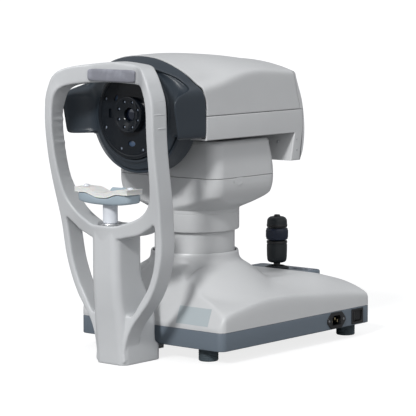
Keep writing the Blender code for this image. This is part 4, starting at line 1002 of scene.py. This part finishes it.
def make_pod():
    """The pod's two shells: a round sleeve that flares into a wide rounded box."""
    rings = []
    wide, tiny = SLEEVE_RADIUS, 0.0001
    for half, height in (
        (0.069, SLEEVE_BOTTOM), (0.0704, SLEEVE_BOTTOM + 0.0006), (wide, SLEEVE_BOTTOM + 0.0025),
        (wide, 0.2205), (0.0708, 0.2209), (0.0708, 0.2217), (wide, 0.2221),
    ):
        rings.append(pod_ring(half, half, half - tiny, height, COLUMN_Y))
    for step in range(POD_LEVELS + 1):
        height = SLEEVE_TOP + (POD_SEAM - GAP - SLEEVE_TOP) * (step / POD_LEVELS) ** 1.3
        half_x, half_y = spline_at(POD_WIDTHS, height), spline_at(POD_DEPTHS, height)
        part = smooth_step(height, SLEEVE_TOP, 0.254)
        radius = min(half_x, half_y) - tiny
        radius += (POD_CORNER - radius) * part
        rings.append(pod_ring(half_x, half_y, radius, height, COLUMN_Y + (POD_Y - COLUMN_Y) * part))
    lower = shelled(sheet_mesh("pod_lower", rings, closed_rows=True))
    put("pod_lower_moulding", rounded(lower, 0.0006, 60.0), "cover", "pod", ("pod_lower_shell",))
    rings = [
        pod_ring(POD_HALF_X - 0.0006, POD_HALF_Y - 0.0006, POD_CORNER, POD_SEAM + GAP),
        pod_ring(POD_HALF_X, POD_HALF_Y, POD_CORNER, POD_SEAM + 0.001),
    ]
    for step in range(1, 13):
        height = POD_SEAM + (POD_SHOULDER - POD_SEAM) * step / 12
        draft, lean = POD_DRAFT * (step / 12) ** 2, POD_LEAN * (step / 12) ** 1.5
        half_x, half_y = POD_HALF_X - draft, POD_HALF_Y - draft - lean
        rings.append(pod_ring(half_x, half_y, POD_CORNER, height, POD_Y - lean))
    for inset, height in arc(0.0, 0.0, 1.0, 0.0, 90.0, 9):
        reach = POD_DRAFT + 0.0068 * (1.0 - inset)
        level = POD_SHOULDER + (POD_TOP - POD_SHOULDER) * height
        half_x, half_y = POD_HALF_X - reach, POD_HALF_Y - reach - POD_LEAN
        rings.append(pod_ring(half_x, half_y, POD_CORNER - 0.002, level, POD_Y - POD_LEAN))
    rings.append(pod_ring(0.07, 0.06, 0.012, POD_TOP, 0.113))
    rings.append(pod_ring(0.055, 0.053, 0.008, POD_TOP, 0.113))
    upper = shelled(sheet_mesh("pod_upper", rings, closed_rows=True))
    put("pod_upper_moulding", upper, "cover", "pod", ("pod_upper_shell",))


def make_lift_column():
    low = TRAY_BOTTOM + 0.0033
    profile = [
        (0.0595, 0.236), (0.0635, 0.236), (0.064, 0.2355), (0.064, low + 0.004),
        (0.078, low + 0.004), (0.078, low), (0.0595, low),
    ]
    place = (0.0, COLUMN_Y, 0.0)
    put_turned("lift_column_tube", profile, 128, place, "cover", "base", ("lift_column",))


# ---------------------------------------------------------------- chin rest
POST_Y, POST_RADIUS = -0.089, 0.0115
MOTOR_Y, SADDLE_TOP = -0.065, 0.216
FRAME_DEPTH = 0.034
SLANT_RISE, SLANT_SHIFT, SLANT_REACH = ((0.25, 0.29), (0.38, 0.41)), 0.006, 0.012
VOXEL_SIZE, QUICK_VOXEL_SIZE = 0.0013, 0.0024
BAND_DEPTH, BAND_HOLLOW, BAND_RISE = 0.036, (0.04, 0.102), (0.395, 0.43)
SADDLE_DEPTH, SADDLE_HALF_X = 0.019, 0.085
FRAME_OUTER = tenths(
    (0, 40), (285, 40), (290, 200), (330, 400), (415, 600), (562, 800), (718, 1000), (830, 1200),
    (910, 1400), (966, 1600), (1000, 1800), (1032, 2200), (1073, 2600), (1096, 3000), (1109, 3500),
    (1112, 3760), (1104, 4000), (1078, 4140), (1030, 4268), (975, 4380), (895, 4470), (790, 4527),
    (650, 4565), (470, 4590), (240, 4615), (0, 4630),
)
FRAME_WINDOW = tenths(
    (0, 2160), (225, 2160), (380, 2205), (560, 2270), (690, 2350), (790, 2450), (860, 2570),
    (905, 2750), (935, 3000), (955, 3320), (962, 3760), (950, 4000), (925, 4100), (885, 4175),
    (825, 4230), (740, 4265), (590, 4290), (350, 4308), (0, 4320),
)
FRAME_SLOT = tenths(
    (250, 830), (330, 780), (413, 785), (562, 1000), (694, 1200), (782, 1400), (841, 1600),
    (872, 1800), (892, 2000), (904, 2160), (888, 2205), (830, 2165), (730, 2105), (630, 2045),
    (530, 2012), (420, 1990), (330, 1965), (250, 1940),
)
FRAME_FRONTS = tenths(
    (0, -920), (400, -912), (800, -872), (1200, -853), (1600, -862), (2000, -891), (2400, -959),
    (2900, -1068), (3200, -1124), (3500, -1163), (3760, -1177), (4700, -1177),
)
COLUMN_RINGS = tenths(
    (0, -932, -42, 305), (240, -950, -52, 305), (300, -955, -130, 305), (720, -1000, -145, 300),
    (900, -1025, -205, 285), (1250, -1060, -380, 278), (1400, -1068, -425, 275),
    (1900, -1072, -430, 272), (2145, -1072, -440, 272),
)


EYE_MARKS = (
    (0.4082, -0.0985, 0.0098, 0.1086), (0.3886, -0.1015, 0.0124, 0.1107),
    (0.3679, -0.0965, 0.0088, 0.1111),
)


def frame_front(x, z):
    """Front face of the frame: bowed out at the saddle, hollow at the forehead band."""
    hollow = BAND_DEPTH * (1.0 - smooth_step(abs(x), *BAND_HOLLOW)) * smooth_step(z, *BAND_RISE)
    bow = SADDLE_DEPTH * (1.0 - smooth_step(abs(x), 0.0, SADDLE_HALF_X))
    bow *= smooth_step(z, 0.165, 0.195) * (1.0 - smooth_step(z, 0.25, 0.3))
    return spline_at(FRAME_FRONTS, z) + hollow - bow


def bisect_grid(shape, normal, places):
    for place in places:
        geometry = shape.verts[:] + shape.edges[:] + shape.faces[:]
        bmesh.ops.bisect_plane(
            shape, geom=geometry, plane_co=Vector(normal) * place, plane_no=normal, dist=0.000001
        )


def round_cutter(radius, y, low, high):
    return moved(rod_mesh("bore", radius, low, high, 48), (0.0, y, 0.0))


def widen_window(spot, outline):
    """The window opens out towards the back, so its inner faces slant."""
    (low, full_low), (full_high, high) = SLANT_RISE
    if not low < spot.z < high:
        return
    near = min(math.hypot(spot.x - point[0], spot.z - point[1]) for point in outline)
    share = spot.y / FRAME_DEPTH + 0.5
    shift = SLANT_SHIFT * share * max(1.0 - near / SLANT_REACH, 0.0)
    shift *= smooth_step(spot.z, low, full_low) * (1.0 - smooth_step(spot.z, full_high, high))
    spot.x += math.copysign(shift, spot.x)


def frame_slab():
    slot_left = [(-x, z) for x, z in reversed(FRAME_SLOT)]
    outlines = (mirrored(FRAME_OUTER), mirrored(FRAME_WINDOW), FRAME_SLOT, slot_left)
    outlines = [spline_loop(outline, 5) for outline in outlines]
    mesh = slab_mesh("frame_slab", outlines, FRAME_DEPTH, "XZ", edge=0.003)
    shape = bmesh.new()
    shape.from_mesh(mesh)
    bisect_grid(shape, (0.0, 0.0, 1.0), [0.012 * step for step in range(1, 39)])
    bisect_grid(shape, (1.0, 0.0, 0.0), [0.007 * step for step in range(-15, 16)])
    for vertex in shape.verts:
        widen_window(vertex.co, outlines[1])
        vertex.co.y += frame_front(vertex.co.x, vertex.co.z) + FRAME_DEPTH / 2
    shape.to_mesh(mesh)
    shape.free()
    return mesh


def frame_column():
    rings = []
    fronts, backs, widths = (
        tuple((ring[0], ring[item]) for ring in COLUMN_RINGS) for item in (1, 2, 3)
    )
    top = COLUMN_RINGS[-1][0]
    for height in between((0.0, top), 60):
        front, back, half_x = (spline_at(table, height) for table in (fronts, backs, widths))
        outline = rounded_rectangle(
            half_x, (back - front) / 2, 0.013, (0.0, (front + back) / 2), 8, 4
        )
        rings.append(at_height(outline, height))
    return sheet_mesh("frame_column", rings, closed_rows=True, caps=True)


def make_chinrest_frame():
    post_bore = (POST_RADIUS + 0.0007, POST_Y, 0.118, SADDLE_TOP + 0.02)
    slab = cut(frame_slab(), round_cutter(*post_bore))
    motor_bore = (0.0172, MOTOR_Y, -0.01, 0.107)
    column = cut(frame_column(), round_cutter(*post_bore), round_cutter(*motor_bore))
    size = VOXEL_SIZE
    mesh = with_modifiers(
        joined("chinrest", [slab, column]),
        ("REMESH", {"mode": "VOXEL", "voxel_size": size, "use_smooth_shade": True}),
        ("SMOOTH", {"factor": 0.5, "iterations": 5}),
    )
    put("chinrest_moulding", mesh, "frame", "base", ("chinrest_frame",), sharp=50.0)
    marks = []
    for z, y, half_y, side in EYE_MARKS:
        low, high = (side - 0.0015, y - half_y, z - 0.0011), (side + 0.0007, y + half_y, z + 0.0011)
        marks.append(box_mesh("mark", low, high, 0.0006))
    put("eye_level_marks", joined("eye_level_marks", marks), "frame", "base")


def make_chinrest_parts():
    place = (0.0, POST_Y, 0.0)
    low = SADDLE_TOP + GAP
    collar = [
        (POST_RADIUS + GAP, low), (POST_RADIUS + GAP, low + 0.0028),
        (POST_RADIUS + 0.0008, low + 0.0032), (0.0172, low + 0.0032), (0.0184, low + 0.0028),
        (0.0192, low + 0.0018), (0.0195, low),
    ]
    put_turned("post_collar", collar, 72, place, "steel", "base", ("chinrest_collar",))
    top = CUP_BOTTOM - GAP
    post = [
        (0.0, top), (POST_RADIUS - 0.0006, top), (POST_RADIUS, top - 0.0006), (POST_RADIUS, 0.1308),
        (POST_RADIUS - 0.0008, 0.13), (0.0, 0.13),
    ]
    put_turned("chin_post_tube", post, 72, place, "white", "chin", ("chin_post",))
    make_forehead_pad()
    make_chin_cup()


PAD_HALF_X, PAD_HALF_Z, PAD_Z, PAD_CROWN = 0.048, 0.0095, 0.4425, 0.0037


def make_forehead_pad():
    """A soft crowned strip that follows the hollow of the forehead band."""
    rows = []
    turns = 40
    for share in cosine_shares(72):
        x = PAD_HALF_X * share
        half_z = PAD_HALF_Z * end_taper(share, 9)
        back = frame_front(x, PAD_Z) - 0.0012
        row = []
        for turn in range(turns):
            angle = 2 * math.pi * turn / turns
            across, out = math.cos(angle), math.sin(angle)
            side = math.copysign(abs(across) ** 0.45, across)
            thick = math.copysign(abs(out) ** 0.55, out)
            crown = PAD_CROWN * (half_z / PAD_HALF_Z) if thick > 0 else 0.0
            row.append(Vector((x, back - crown * thick, PAD_Z + half_z * side)))
        rows.append(row)
    mesh = sheet_mesh("pad", rows, closed_rows=True, caps=True)
    pad = put("forehead_cushion", mesh, "pad", "base", ("forehead_pad",), sharp=60.0)


CUP_HALF_X, CUP_HALF_Y, CUP_Y = 0.0535, 0.019, -0.0915
CUP_BOTTOM, CUP_TOP, CUP_DIP = 0.2468, 0.264, 0.0065
LOBE_X, LOBE_HEIGHT, LOBE_BACK = 0.003, 0.015, 0.002
PAPER_HALF_X, PAPER_SPACE, PAPER_THICKNESS, PAPER_LAP = 0.0542, 0.0009, 0.0072, 0.0006
SHEET_SLIPS = (0.0, 0.0003, -0.0002, 0.0002, -0.0003, 0.0001, 0.0)
PIN_X = 0.045


def cup_top(x):
    """Height of the cup over x: two cheeks and a dip between them."""
    return CUP_TOP - CUP_DIP * (1.0 - smooth_step(abs(x), 0.006, 0.034))


def cup_row(x, share):
    half_y = CUP_HALF_Y * end_taper(share, 5.0)
    front, back = CUP_Y - half_y, CUP_Y + half_y
    bottom = CUP_BOTTOM + 0.0047 * abs(share) ** 3
    top = cup_top(x)
    lobe = 1.0 - smooth_step(abs(x - LOBE_X), 0.012, 0.023)
    rise = LOBE_HEIGHT * lobe
    corners = [
        (front + 0.004, bottom), (front + 0.0012, bottom + 0.0012), (front, bottom + 0.004),
        (front, top - 0.0016), (front + 0.0005, top - 0.0004), (front + 0.0018, top), (CUP_Y, top),
        (back - 0.0031, top), (back - 0.0022, top - 0.0002 + 0.85 * rise),
        (back - 0.001, top - 0.0004 + rise), (back + LOBE_BACK * lobe, top - 0.0013 + 0.88 * rise),
        (back + 0.8 * LOBE_BACK * lobe, (top + bottom) / 2), (back, bottom + 0.004),
        (back - 0.0012, bottom + 0.0012), (back - 0.004, bottom),
    ]
    return at_x(x, corners)


def tissue_sheet(index):
    """One band of the stack: a few sheets that have slipped and curled a little."""
    count = len(SHEET_SLIPS)
    low = PAPER_SPACE + PAPER_THICKNESS * index / count
    high = low + PAPER_THICKNESS / count - 0.00008
    slip = SHEET_SLIPS[index]
    front = CUP_Y - CUP_HALF_Y - PAPER_LAP + abs(slip)
    back = CUP_Y + CUP_HALF_Y - 0.0036 + slip
    rows = []
    for share in cosine_shares(56):
        curl = 0.0007 * smooth_step(abs(share), 0.8, 1.0) * (index / (count - 1)) ** 2
        x = (PAPER_HALF_X - abs(slip)) * share
        base = cup_top(x) + curl
        section = (
            (front, low), (front, high), (CUP_Y, high), (back, high), (back, low), (CUP_Y, low)
        )
        rows.append([Vector((x, y, base + height)) for y, height in section])
    return sheet_mesh("sheet", rows, closed_rows=True, caps=True)


def make_chin_cup():
    rows = [cup_row(CUP_HALF_X * share, share) for share in cosine_shares(64)]
    cup = subdivided(sheet_mesh("cup", rows, closed_rows=True, caps=True), 1)
    put("chin_cup_moulding", cup, "chin_grey", "chin", ("chin_cup",), sharp=50.0)
    sheets = [tissue_sheet(index) for index in range(len(SHEET_SLIPS))]
    put(
        "tissue_stack", joined("tissue_stack", sheets), "paper", "chin", ("chin_paper",), sharp=40.0
    )
    base = cup_top(PIN_X) + PAPER_SPACE + PAPER_THICKNESS + GAP
    profile = tenths((0, 35), (20, 34), (34, 29), (45, 20), (50, 9), (49, 0), (0, 0))
    for name, side in (("paper_pin_left", -1), ("paper_pin_right", 1)):
        place = (side * PIN_X, CUP_Y - 0.002, base)
        put_turned(f"{name}_knob", profile, 32, place, "white", "chin", (name,))


# ---------------------------------------------------------------- head
HEAD_HALF_X, HEAD_FLOOR, HEAD_SEAM, HEAD_BOTTOM = 0.117, 0.344, 0.3812, 0.2995
CROWN = tenths((-200, 4705), (300, 4722), (740, 4727), (1180, 4708), (1660, 4670), (2200, 4600))
SIDE_CREASE = tenths(
    (-100, 4215), (425, 4300), (860, 4410), (1190, 4460), (1520, 4468), (2200, 4416)
)
REAR_SLOPE, REAR_SEAM_Y = 0.285, 0.2328
LOWER_WALL = 0.003
REAR_PROFILE = (
    (0.2235, 0.4395), (0.23, 0.4226), (0.242, 0.3937), (0.2484, 0.355), (0.2475, 0.332),
    (0.2428, 0.31), (0.236, HEAD_BOTTOM + 0.0004),
)


def head_top_height(x, y):
    """Height of the head's crown over x, from the side crease to the middle."""
    crease = spline_at(SIDE_CREASE, y)
    crown = spline_at(CROWN, y)
    inward = 1.0 - min(abs(x) / HEAD_HALF_X, 1.0)
    rise = 1.0 - (1.0 - inward) ** 2.3
    dip = 0.07 * math.exp(-(((inward - 0.12) / 0.07) ** 2)) * (1.0 - smooth_step(y, 0.02, 0.08))
    return crease + (crown - crease) * (rise - dip)


def seam_y(z):
    """Where the front bezel meets the head covers: back at the sides, forward over the crown."""
    return -0.0065 * smooth_step(z, 0.4, 0.4215) - 0.0135 * smooth_step(z, 0.4215, 0.465)


def rear_y(z):
    """Where the top cover meets the rear cover, on a slant."""
    return REAR_SEAM_Y - REAR_SLOPE * (z - HEAD_SEAM)


def crown_half(y):
    """Right half of the cover's section at y: up the side and over to the middle."""
    crease = spline_at(SIDE_CREASE, y)
    side = between((HEAD_SEAM + GAP, crease - 0.0015), 25)
    points = [Vector((HEAD_HALF_X, z)) for z in side]
    for step in range(57):
        x = (HEAD_HALF_X - 0.0012) * (1.0 - (step / 56) ** 1.15)
        points.append(Vector((x, head_top_height(x, y))))
    return soften(points, 7)


def make_head_top():
    rows = []
    for part in between((0.0, 1.0), 56):
        right = crown_half(part * 0.225)
        half = right + [Vector((-point.x, point.y)) for point in reversed(right[:-1])]
        row = []
        for x, z in half:
            front, back = seam_y(z) + 3 * GAP, rear_y(z) - GAP
            row.append(Vector((x, front + (back - front) * part, z)))
        rows.append(row)
    cover = shelled(sheet_mesh("head_top", rows))
    put(
        "head_top_moulding", rounded(cover, 0.0007, 60.0), "cover", "head", ("head_top_cover",),
        sharp=30.0,
    )


def make_head_lower():
    profile = (
        (0.0003, HEAD_SEAM - GAP), (0.0003, HEAD_FLOOR), (0.219, HEAD_FLOOR),
        (0.209, HEAD_BOTTOM), (0.2327, HEAD_BOTTOM), (0.2395, 0.348), (0.2395, HEAD_SEAM - GAP),
    )
    cover = slab_mesh("head_lower", [profile], 2 * HEAD_HALF_X, "YZ", edge=0.0022, edge_steps=4)
    floor, bottom = HEAD_FLOOR + LOWER_WALL, HEAD_BOTTOM + LOWER_WALL
    inner = (
        (-0.02, 0.4), (-0.02, floor), (0.2217, floor), (0.2127, bottom), (0.26, bottom),
        (0.26, 0.4),
    )
    hollow = slab_mesh("hollow", [inner], 2 * (HEAD_HALF_X - LOWER_WALL), "YZ")
    opening = box_mesh("opening", (-0.093, 0.062, 0.33), (0.093, 0.142, 0.36), 0.004)
    put("head_lower_moulding", cut(cover, hollow, opening), "cover", "head", ("head_lower_cover",))
    heads = []
    for x in (-0.085, -0.03, 0.03, 0.085):
        heads.append(moved(screw_head(0.0026), (x, 0.2158, 0.328), turned(QUARTER, "X")))
    for z in (0.316, 0.333):
        spot = (HEAD_HALF_X - 0.0006, 0.224, z)
        heads.append(moved(screw_head(0.0018, False), spot, turned(QUARTER, "Y")))
    put("head_screws", joined("head_screws", heads), "steel", "head")


def rear_ring(x, inset):
    """The rear block's section at x: its flat front steps, then its rounded back."""
    top = head_top_height(x, 0.218)
    front = [
        (rear_y(top) + GAP, top), (rear_y(0.41) + GAP, 0.41),
        (rear_y(HEAD_SEAM) + GAP, HEAD_SEAM + GAP), (0.2399, HEAD_SEAM), (0.2399, 0.348),
        (0.2331, HEAD_BOTTOM + 0.0004),
    ]
    profile = tuple((z, y) for y, z in reversed(REAR_PROFILE))
    shoulder_z, shoulder_y = profile[-1]
    deepest = max(y for _, y in profile)
    back = []
    for z in between((profile[0][0], top - 0.003), 36):
        y = min(spline_at(profile, min(z, shoulder_z)), deepest)
        if z > shoulder_z:
            y = shoulder_y - (z - shoulder_z) * 0.35
        bulge = 0.0012 * (1.0 - (x / HEAD_HALF_X) ** 2)
        back.append(Vector((y - inset - 0.0012 + bulge, z)))
    back = soften(back, 3)
    nearest = front[0][0] + 0.002
    return at_x(x, front + [(max(y, nearest), z) for y, z in back])


SCREEN_TILT = math.atan2(0.0184, 0.0676)
SCREEN_CENTRE = Vector((0.0, 0.2392, 0.3888))


def make_rear_cover():
    rings = []
    for share in cosine_shares(60):
        inset = 0.0034 * smooth_step(abs(share), 0.955, 1.0)
        rings.append(rear_ring(share * HEAD_HALF_X, inset))
    cover = sheet_mesh("rear", rings, closed_rows=True, caps=True)
    turn = turned(SCREEN_TILT, "X")
    pocket_outline = rounded_rectangle(0.062, 0.0315, 0.003, (0.0, 0.0), 6)
    pocket = moved(slab_mesh("pocket", [pocket_outline], 0.008, "XZ"), SCREEN_CENTRE, turn)
    put("rear_cover_moulding", cut(cover, pocket), "cover", "head", ("rear_cover",), sharp=30.0)
    glass_outline = rounded_rectangle(0.0612, 0.0307, 0.0026, (0.0, 0.0), 6)
    glass = slab_mesh("glass", [glass_outline], 0.0025, "XZ", edge=0.0004)
    sunk = turn @ Vector((0.0, -0.002, 0.0))
    put(
        "screen_glass", moved(glass, SCREEN_CENTRE + sunk, turn), "screen", "head",
        ("display_screen",),
    )


NOSE_Z, NOSE_RADIUS, NOSE_FRONT, NOSE_BACK = 0.3813, 0.0928, -0.03, 0.01
# The hood's edge: x, z and how far forward its rim stands.
WING_EDGE = tenths(
    (1000, 3478, -460), (1120, 3478, -590), (1158, 3495, -625), (1170, 3540, -640),
    (1170, 3700, -670), (1170, 3880, -710), (1170, 4040, -740), (1168, 4150, -660),
    (1150, 4215, -340), (1060, 4270, -260), (960, 4350, -260), (888, 4445, -290), (756, 4530, -340),
    (550, 4620, -390), (345, 4675, -420), (170, 4698, -440),
)


def bezel_edge():
    """(x, z, rim y, is ring) round the bezel's edge, the right half first."""
    half = []
    for step in range(9):
        spot = math.radians(-90.0 + 8.5 * step)
        half.append(
            (NOSE_RADIUS * math.cos(spot), NOSE_Z + NOSE_RADIUS * math.sin(spot), NOSE_FRONT, 1.0)
        )
    half.append((0.0867, 0.3482, NOSE_FRONT, 1.0))
    half.extend((x, z, rim, 0.0) for x, z, rim in WING_EDGE)
    top = [(0.0, 0.4705, -0.045, 0.0)]
    left = [(-x, z, rim, ring) for x, z, rim, ring in reversed(half[1:])]
    return half + top + left


def bezel_column(x, z, rim, ring):
    """Points across the bezel at one place on its edge, from the lens opening out and back."""
    direction = Vector((x, z - NOSE_Z))
    reach = direction.length
    direction.normalize()
    narrowing = 0.0 if ring else 0.01 * smooth_step(z, 0.425, 0.465)
    rim_reach = reach - narrowing - 0.0008
    dish = min(0.0915, 0.0745 + 0.4 * (rim_reach - 0.0745))
    back = NOSE_BACK if ring else seam_y(z) - GAP
    middle = dish + (rim_reach - 0.002 - dish) * 0.6
    stations = (
        (0.034, -0.0008), (0.034, -0.0242), (0.0345, -0.025), (0.069, -0.025), (0.0695, -0.0255),
        (0.0695, -0.0355), (0.0698, -0.0364), (0.071, -0.037), (0.0735, -0.0368),
        (0.0745, -0.036), (0.075, -0.0345), (dish, -0.031),
        (middle, -0.031 + (rim + 0.031) * 0.45), (rim_reach - 0.0058, rim + 0.0042),
        (rim_reach - 0.0034, rim + 0.0013), (rim_reach - 0.0016, rim),
        (rim_reach - 0.0003, rim + 0.0014), (rim_reach, rim + 0.0034),
        ((rim_reach + reach) / 2, (rim + back) / 2), (reach, back + (rim - back) * 0.12),
        (reach, back - 0.0008), (reach - 0.0006, back), (reach - 0.004, back),
    )
    return [
        Vector((direction.x * radius, y, NOSE_Z + direction.y * radius)) for radius, y in stations
    ]


def make_bezel():
    columns = [bezel_column(*spot) for spot in bezel_edge()]
    bezel = subdivided(sheet_mesh("bezel", columns, closed_rows=True, wrap=True), 2)
    clearance = box_mesh("clearance", (-0.14, 0.0, HEAD_FLOOR - GAP), (0.14, 0.03, 0.52))
    bezel = cut(bezel, clearance)
    put("front_bezel_moulding", bezel, "bezel", "head", ("front_bezel",), sharp=40.0)


PLATE_FRONT = -0.0397
LAMPS, OVAL_STEPS = 8, 28
INNER_CIRCLE, OUTER_CIRCLE = 0.0208, 0.058
LENS_RADIUS, LENS_BULGE, LAMP_RADIUS = 0.01, 0.0012, 0.0022


def lamp_places(circle):
    for index in range(LAMPS):
        angle = 2 * math.pi * (index + 0.5) / LAMPS
        yield circle * math.cos(angle), NOSE_Z + circle * math.sin(angle)


def nose_turned(name, profile, steps=128):
    """Turned about the nose axis; the profile's heights run from the head to the patient."""
    return moved(turned_mesh(name, profile, steps, "Y"), (0.0, 0.0, NOSE_Z))


def oval(half_x, half_z, turn=0.0):
    cosine, sine = math.cos(turn), math.sin(turn)
    points = []
    for step in range(OVAL_STEPS):
        angle = 2 * math.pi * step / OVAL_STEPS
        x, z = half_x * math.cos(angle), half_z * math.sin(angle)
        points.append((x * cosine - z * sine, x * sine + z * cosine))
    return points


def lamp_holes(circle, radius, y):
    """Cutters for the ring of lamp holes on a circle."""
    places = [(x, y, z) for x, z in lamp_places(circle)]
    return [moved(rod_mesh("hole", radius, -0.02, 0.02, 24, "Y"), place) for place in places]


NOSE_WINDOWS = (
    ("left", (-0.0425, NOSE_Z), rounded_rectangle(0.00485, 0.00715, 0.0012), False),
    ("bottom", (0.0, NOSE_Z - 0.045), oval(0.0075, 0.0045), True),
    ("upper", (-0.032, NOSE_Z + 0.024), oval(0.0052, 0.003, math.radians(52.0)), True),
)


def make_nose():
    profile = tenths(
        (262, 375), (262, 393), (266, 397), (618, 397), (622, 394), (626, 396), (630, 405),
        (636, 407), (680, 407), (687, 403), (690, 394), (690, 375),
    )
    cutters = lamp_holes(OUTER_CIRCLE, 0.0029, PLATE_FRONT)
    for _, (x, z), outline, _ in NOSE_WINDOWS:
        cutters.append(moved(slab_mesh("window", [outline], 0.02, "XZ"), (x, PLATE_FRONT, z)))
    plate = cut(nose_turned("plate", profile), *cutters)
    put("nose_disc", plate, "nose", "head", ("nose_plate",))

    profile = tenths(
        (105, 400), (105, 452), (110, 458), (140, 468), (245, 492), (252, 498), (258, 500),
        (268, 500), (276, 496), (280, 486), (280, 400),
    )
    ring = cut(nose_turned("lens_ring", profile), *lamp_holes(INNER_CIRCLE, 0.0027, -0.045))
    put("lens_ring", ring, "nose", "head", ("lens_bezel",))

    profile = [(0.0, 0.039), (LENS_RADIUS, 0.039), (LENS_RADIUS, 0.0398)]
    for step in range(1, 10):
        angle = math.pi / 2 * (1 - step / 10)
        profile.append((LENS_RADIUS * math.sin(angle), 0.0398 + LENS_BULGE * math.cos(angle)))
    profile.append((0.0, 0.041))
    put("front_lens", nose_turned("lens", profile, 64), "lens", "head", ("objective_lens",))

    for circle, name, front, back, tip in (
        (INNER_CIRCLE, "inner", 0.0396, 0.038, 0.0468),
        (OUTER_CIRCLE, "outer", 0.0372, 0.0356, 0.0386),
    ):
        low, high = circle - 0.005, circle + 0.005
        board = nose_turned(name, [(low, back), (low, front), (high, front), (high, back)])
        put(f"{name}_lamp_board", board, "led", "head", (f"{name}_led_ring",))
        domes = []
        base = front + 0.0001
        bulb = arc(0.0, tip - LAMP_RADIUS, LAMP_RADIUS, 80.0, 0.0, 6)
        dome = [(0.0, tip), *bulb, (LAMP_RADIUS, base), (0.0, base)]
        for x, z in lamp_places(circle):
            domes.append(moved(turned_mesh("dome", dome, 20, "Y"), (x, 0.0, z)))
        put(f"{name}_lamps", joined(name, domes), "led", "head", material=LAMP_DOME)
    for name, (x, z), outline, clear in NOSE_WINDOWS:
        wider = [scaled(spot, 1.1) for spot in outline]
        pane = moved(slab_mesh("pane", [wider], 0.0012, "XZ", edge=0.0002), (x, -0.0362, z))
        material = WINDOW_GLASS if clear else MATERIALS["nose"]
        put(f"{name}_window", pane, "lens", "head", material=material)


# ---------------------------------------------------------------- what stays as CAD
def dress_remaining_nodes():
    """The inner pieces keep their CAD shape and get their slot's material."""
    slots = {entry["node"]: entry["material_slot"] for entry in frame["record"]["subparts"]}
    for name, node in frame["nodes"].items():
        node.data.materials.clear()
        node.data.materials.append(MATERIALS[slots[name]])


def make_instrument():
    dress_remaining_nodes()
    make_tray()
    make_feet()
    make_base_cover()
    make_label()
    make_inlet()
    make_switch()
    make_console()
    make_joystick()
    make_lift_column()
    make_pod()
    make_chinrest_frame()
    make_chinrest_parts()
    make_head_top()
    make_head_lower()
    make_rear_cover()
    make_bezel()
    make_nose()


make_camera()
make_studio()
make_floor()
make_instrument()
